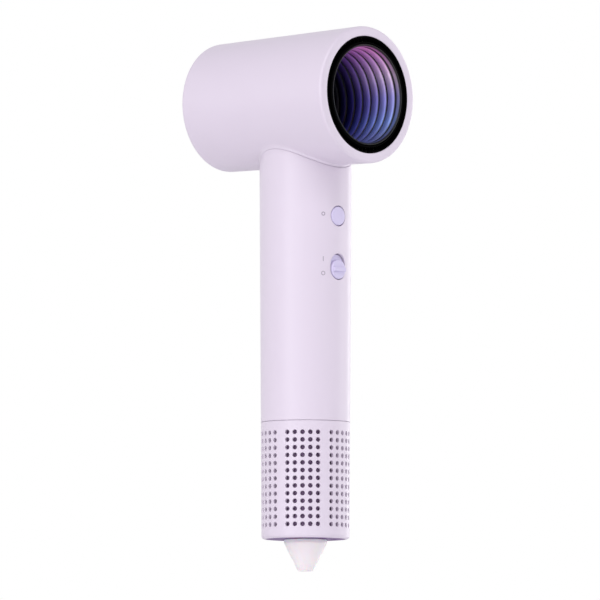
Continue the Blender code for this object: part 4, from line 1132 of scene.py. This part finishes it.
# ---- inlet and base -------------------------------------------------------------------------
@dataclass
class Inlet:
    """The pull-off sleeve with its rows of round holes, and the gauze behind them."""

    at: Layout
    groups: int = 6
    in_group: int = 5
    rows: int = 13
    step: float = 10.2                  # degrees from hole to hole
    phase: float = 9.4                  # degrees from the front to the first group's middle
    pitch: float = 3.43 * MM            # height from row to row
    hole: float = 1.05 * MM
    top_row: float = 5.34 * MM          # seam down to the first row
    chamfer: float = 1.4 * MM
    edge: float = 0.3 * MM
    bore: float = 18.0 * MM
    steps: int = 4                      # grid spans on each side of a hole's patch

    def build(self) -> None:
        """Make the sleeve and the gauze."""
        self.sleeve()
        self.gauze()

    def sleeve(self) -> None:
        """Lay out the sleeve's grid with a patch for each hole, and skin it."""
        at, steps = self.at, self.steps
        patch = math.radians(self.step)
        bridge = TAU / self.groups - self.in_group * patch
        group = np.concatenate([np.arange(self.in_group * steps) * patch / steps,
                                self.in_group * patch + np.arange(steps) * bridge / steps])
        start = math.radians(self.phase) - self.in_group * patch / 2.0
        angles = start + (np.arange(self.groups)[:, None] * TAU / self.groups + group[None]).reshape(-1)
        per_group = (self.in_group + 1) * steps
        high = at.seam_z - at.gap / 2.0
        top = at.seam_z - self.top_row + self.pitch / 2.0
        low = top - self.rows * self.pitch
        foot_z = at.bottom_z + self.chamfer
        levels = np.concatenate([[foot_z, foot_z + 0.5 * MM], np.linspace(foot_z + 1.0 * MM, low, 3)[:-1],
                                 np.linspace(low, top, self.rows * steps + 1),
                                 [top + 0.6 * MM, high - 2.0 * self.edge, high - self.edge]])
        height = np.broadcast_to(levels, (len(angles), len(levels)))
        outer = np.stack([at.handle_radius(height), height], axis=-1)
        within = height.copy()
        within[:, 0], within[:, -1] = at.bottom_z, high
        inner = np.stack([np.full(height.shape, self.bore), within], axis=-1)

        def level_row(radius: float, z: float) -> np.ndarray:
            """Give a level row of the rim."""
            return np.stack([np.full(len(angles), radius), np.full(len(angles), z)], axis=1)

        end = at.handle_radius(foot_z)
        foot = [level_row(end - self.chamfer * (1.0 - math.cos(turn)),
                          foot_z - self.chamfer * math.sin(turn))
                for turn in np.linspace(0.0, math.pi / 2.0, 7)[1:]]
        crown = [level_row(at.handle_radius(high) - self.edge * cut, high - self.edge * drop)
                 for cut, drop in ((1.0, 0.0), (0.3, 0.3))]
        column, row = np.meshgrid(np.arange(self.groups * self.in_group), np.arange(self.rows))
        corners = np.stack([(column // self.in_group) * per_group + (column % self.in_group) * steps,
                            4 + row * steps], axis=-1).reshape(-1, 2)
        tube = PiercedTube(angles, outer, inner, foot, crown,
                           [HoleSet(corners, (steps, steps), self.hole, 0.0, 0.12 * MM, 1)])
        sleeve = mesh_of("sleeve_casing", tube.surface())
        finish_piece(sleeve, SATIN_LILAC, "inlet_sleeve", ["inlet_sleeve"])

    def gauze(self) -> None:
        """Turn the gauze's thin tube."""
        low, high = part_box("filter_mesh")
        outline = np.array([(high.x - 0.4 * MM, low.z), (high.x, low.z), (high.x, high.z),
                            (high.x - 0.4 * MM, high.z)])
        finish_piece(mesh_of("gauze", turned(outline, 144)), replace(DARK_GAUZE, radius=high.x), "housing",
                     ["filter_mesh"])


@dataclass
class Base:
    """The plum plate under the handle, its three screws, and the frosted cone of the cord."""

    at: Layout
    thick: float = 2.4 * MM
    neck: float = 6.7 * MM
    screw_head: float = 1.6 * MM
    sink: float = 1.2 * MM
    cone_base: float = 9.6 * MM
    cone_tip: float = 3.4 * MM
    cone_straight: float = 1.8 * MM
    cord_hole: float = 2.4 * MM

    def build(self) -> None:
        """Make the plate, the screws and the cone."""
        self.plate()
        self.screws()
        self.cone()

    @property
    def circle(self) -> float:
        """Radius of the screws' circle."""
        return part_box("base_screw_1")[1].y - self.screw_head

    def plate(self) -> None:
        """Turn the plate and sink the screws' seats in it."""
        at = self.at
        outer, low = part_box("base_plate")[1].x, at.bottom_z
        inner, high = self.neck + at.gap, low + self.thick
        outline = rounded([(inner, low, 0.2 * MM), (outer, low, 0.3 * MM), (outer, high, 0.3 * MM),
                           (inner, high, 0.2 * MM)])
        plate = mesh_of("base_disc", turned(outline, 144))
        seat = self.screw_head + at.gap
        drill = turned(np.array([(0.0, low - 1.0 * MM), (seat, low - 1.0 * MM), (seat, low + self.sink),
                                 (1.1 * MM, low + self.sink), (1.1 * MM, low + 4.0 * MM),
                                 (0.0, low + 4.0 * MM)]), 48)
        reshape(plate, Merge.CUT, spun(drill.moved(x=self.circle), THREE_WAYS))
        finish_piece(plate, DULL_PLUM, "housing", ["base_plate"])

    def screws(self) -> None:
        """Turn a screw with a soft-edged head and cut the cross for its driver, three times."""
        head_z = self.at.bottom_z + self.sink - self.at.gap
        tip_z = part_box("base_screw_1")[1].z
        outline = rounded([(0.0, head_z - 0.9 * MM, 0.0), (self.screw_head, head_z - 0.9 * MM, 0.25 * MM),
                           (self.screw_head, head_z, 0.05 * MM), (0.8 * MM, head_z, 0.0),
                           (0.8 * MM, tip_z - 0.4 * MM, 0.0), (0.3 * MM, tip_z, 0.0), (0.0, tip_z, 0.0)], 3)
        for number, turn in enumerate(THREE_WAYS.tolist(), 1):
            x, y = self.circle * math.cos(turn), self.circle * math.sin(turn)
            screw = mesh_of(f"plate_screw_{number}", turned(outline, 48).moved(x, y))
            for wide, deep in ((0.85, 0.22), (0.22, 0.85)):
                bar = slab((-wide * MM, -deep * MM, head_z - 1.5 * MM),
                           (wide * MM, deep * MM, head_z - 0.4 * MM))
                reshape(screw, Merge.CUT, bar.moved(x, y))
            finish_piece(screw, TUMBLED_STEEL, "housing", [f"base_screw_{number}"])

    def cone(self) -> None:
        """Turn the cone, with its neck through the plate and its flange above it."""
        at = self.at
        tip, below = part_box("strain_relief")[0].z, at.bottom_z - at.gap
        top = at.bottom_z + self.thick + at.gap
        outline = rounded([
            (self.cord_hole, tip, 0.2 * MM), (self.cone_tip, tip, 0.3 * MM),
            (self.cone_base, at.bottom_z - self.cone_straight, 0.8 * MM), (self.cone_base, below, 0.3 * MM),
            (self.neck, below, 0.0), (self.neck, top, 0.0), (self.neck + 2.2 * MM, top, 0.1 * MM),
            (self.neck + 2.2 * MM, top + 1.5 * MM, 0.2 * MM), (self.cord_hole, top + 1.5 * MM, 0.2 * MM)])
        finish_piece(mesh_of("cord_cone", turned(outline, 96)), FROSTED_TPE, "housing", ["strain_relief"])


# ---- carried-over nodes ---------------------------------------------------------------------
class Insides:
    """The motor, the heater, the boards and the rest, which keep the shapes of the frame."""

    def slots(self) -> dict[str, str]:
        """Give each node's slot by the record's own table."""
        table: dict[str, str] = {}
        for row in frame["record"].get("materials", []):
            for node in row.get("nodes", []):
                table[node] = row["slot"]
        return table

    def build(self) -> None:
        """Give every node that still shows its finish, in the slot that it already has."""
        by_node = self.slots()
        for name, thing in sorted(frame["nodes"].items()):
            if thing.hide_render:
                continue
            slot = by_node.get(name) or thing.material_slots[0].name.split(".")[0]
            finish = CARRIED[slot]
            for place in thing.material_slots:
                place.material = finish.build()
            LOG.info("%s: %s", name, finish.name)


# ---- studio ---------------------------------------------------------------------------------
@dataclass(frozen=True)
class SoftBox:
    """A rectangular light that looks at the object.

    Attributes:
        name: What it does.
        beside: Degrees round from the camera's bearing.
        elevation: Degrees over the target's level.
        distance: Metres from the target.
        size: Width and height, metres.
        power: Watts.
    """

    name: str
    beside: float
    elevation: float
    distance: float
    size: tuple[float, float]
    power: float


@dataclass
class Studio:
    """A pale floor far below, a room that is white at the horizon, soft boxes, and the camera."""

    azimuth: float = -46.7              # degrees from the straight front view
    elevation: float = -4.5
    distance: float = 3.64
    field_width: float = 0.270
    sensor: float = 36.0
    target: Vector = field(default_factory=lambda: Vector((-0.0017, 0.0018, -0.0048)))
    floor_z: float = -0.62
    floor_reach: float = 6.0
    floor_thick: float = 0.02
    boxes: tuple[SoftBox, ...] = (
        SoftBox("key", -42.0, 5.0, 1.6, (0.4, 1.6), 4.5),
        SoftBox("fill", -20.0, 0.0, 1.6, (0.5, 1.6), 1.6),
        SoftBox("rim", 110.0, 0.0, 1.6, (0.6, 1.6), 4.6),
        SoftBox("rear", 145.0, 0.0, 1.6, (0.6, 1.6), 5.0),
        SoftBox("top", 0.0, 50.0, 1.6, (1.6, 0.3), 8.0),
        SoftBox("low", 0.0, -40.0, 0.85, (0.9, 0.2), 1.0))

    def build(self) -> None:
        """Make the floor, the light and the camera."""
        bpy.context.scene.view_settings.view_transform = "Standard"
        self.floor()
        self.sky()
        self.lights()
        self.camera()

    def floor(self) -> None:
        """Lay a wide plain disc."""
        high, low, reach = self.floor_z, self.floor_z - self.floor_thick, self.floor_reach
        outline = np.array([(0.0, high), (reach, high), (reach, low), (0.0, low)])
        floor = mesh_of("floor", turned(outline, 64))
        floor.data.materials.append(PAINTED_BOARD.build())

    def sky(self) -> None:
        """Light from all round: a white wall at the level of the horizon, a dimmer ceiling over it."""
        world = bpy.data.worlds.new("pale room")
        world.use_nodes = True
        tree = world.node_tree
        back = tree.nodes["Background"]
        way = add_node(tree, "ShaderNodeTexCoord").outputs["Generated"]
        axes = add_node(tree, "ShaderNodeSeparateXYZ", {"Vector": way})
        shade = ramp(tree, axes.outputs["Z"], ((0.0, "#FFFFFF"), (0.22, "#FFFFFF"), (0.45, "#DEDEE0"),
                                               (1.0, "#B4B4B8")))
        tree.links.new(shade, back.inputs["Color"])
        back.inputs["Strength"].default_value = 1.0
        bpy.context.scene.world = world

    def aimed(self, name: str, data: Any, azimuth: float, elevation: float,
              distance: float) -> bpy.types.Object:
        """Hang a light or a camera on a bearing from the target, and turn it to look at the target.

        With a the azimuth and e the elevation, it is at distance (sin a cos e, -cos a cos e, sin e).

        Args:
            name: The object's name.
            data: The light's or the camera's data.
            azimuth: Degrees from the straight front view.
            elevation: Degrees over the target's level.
            distance: Metres from the target.

        Returns:
            The new object.
        """
        turn, rise = math.radians(azimuth), math.radians(elevation)
        thing = bpy.data.objects.new(name, data)
        thing.location = self.target + distance * Vector((
            math.sin(turn) * math.cos(rise), -math.cos(turn) * math.cos(rise), math.sin(rise)))
        thing.rotation_euler = (self.target - thing.location).to_track_quat("-Z", "Y").to_euler()
        bpy.context.scene.collection.objects.link(thing)
        return thing

    def lights(self) -> None:
        """Hang the soft boxes round the camera's own bearing."""
        for box in self.boxes:
            light = bpy.data.lights.new(box.name, "AREA")
            light.shape, light.energy = "RECTANGLE", box.power
            light.size, light.size_y = box.size
            self.aimed(box.name, light, self.azimuth + box.beside, box.elevation, box.distance)

    def camera(self) -> None:
        """Set the camera: a long lens, from below the head's level."""
        data = bpy.data.cameras.new("camera")
        data.sensor_width = self.sensor
        data.lens = self.sensor * self.distance / self.field_width
        data.clip_end = 50.0
        bpy.context.scene.camera = self.aimed("camera", data, self.azimuth, self.elevation, self.distance)


def main() -> None:
    """Build the studio and the object."""
    logging.basicConfig(level=logging.INFO, format="%(name)s %(message)s")
    at = Layout()
    for group in (Studio(), Head(at), Handle(at), Controls(at), Inlet(at), Base(at), Insides()):
        LOG.info("building %s", type(group).__name__)
        group.build()
    bpy.context.view_layer.update()


if __name__ == "__main__":
    main()
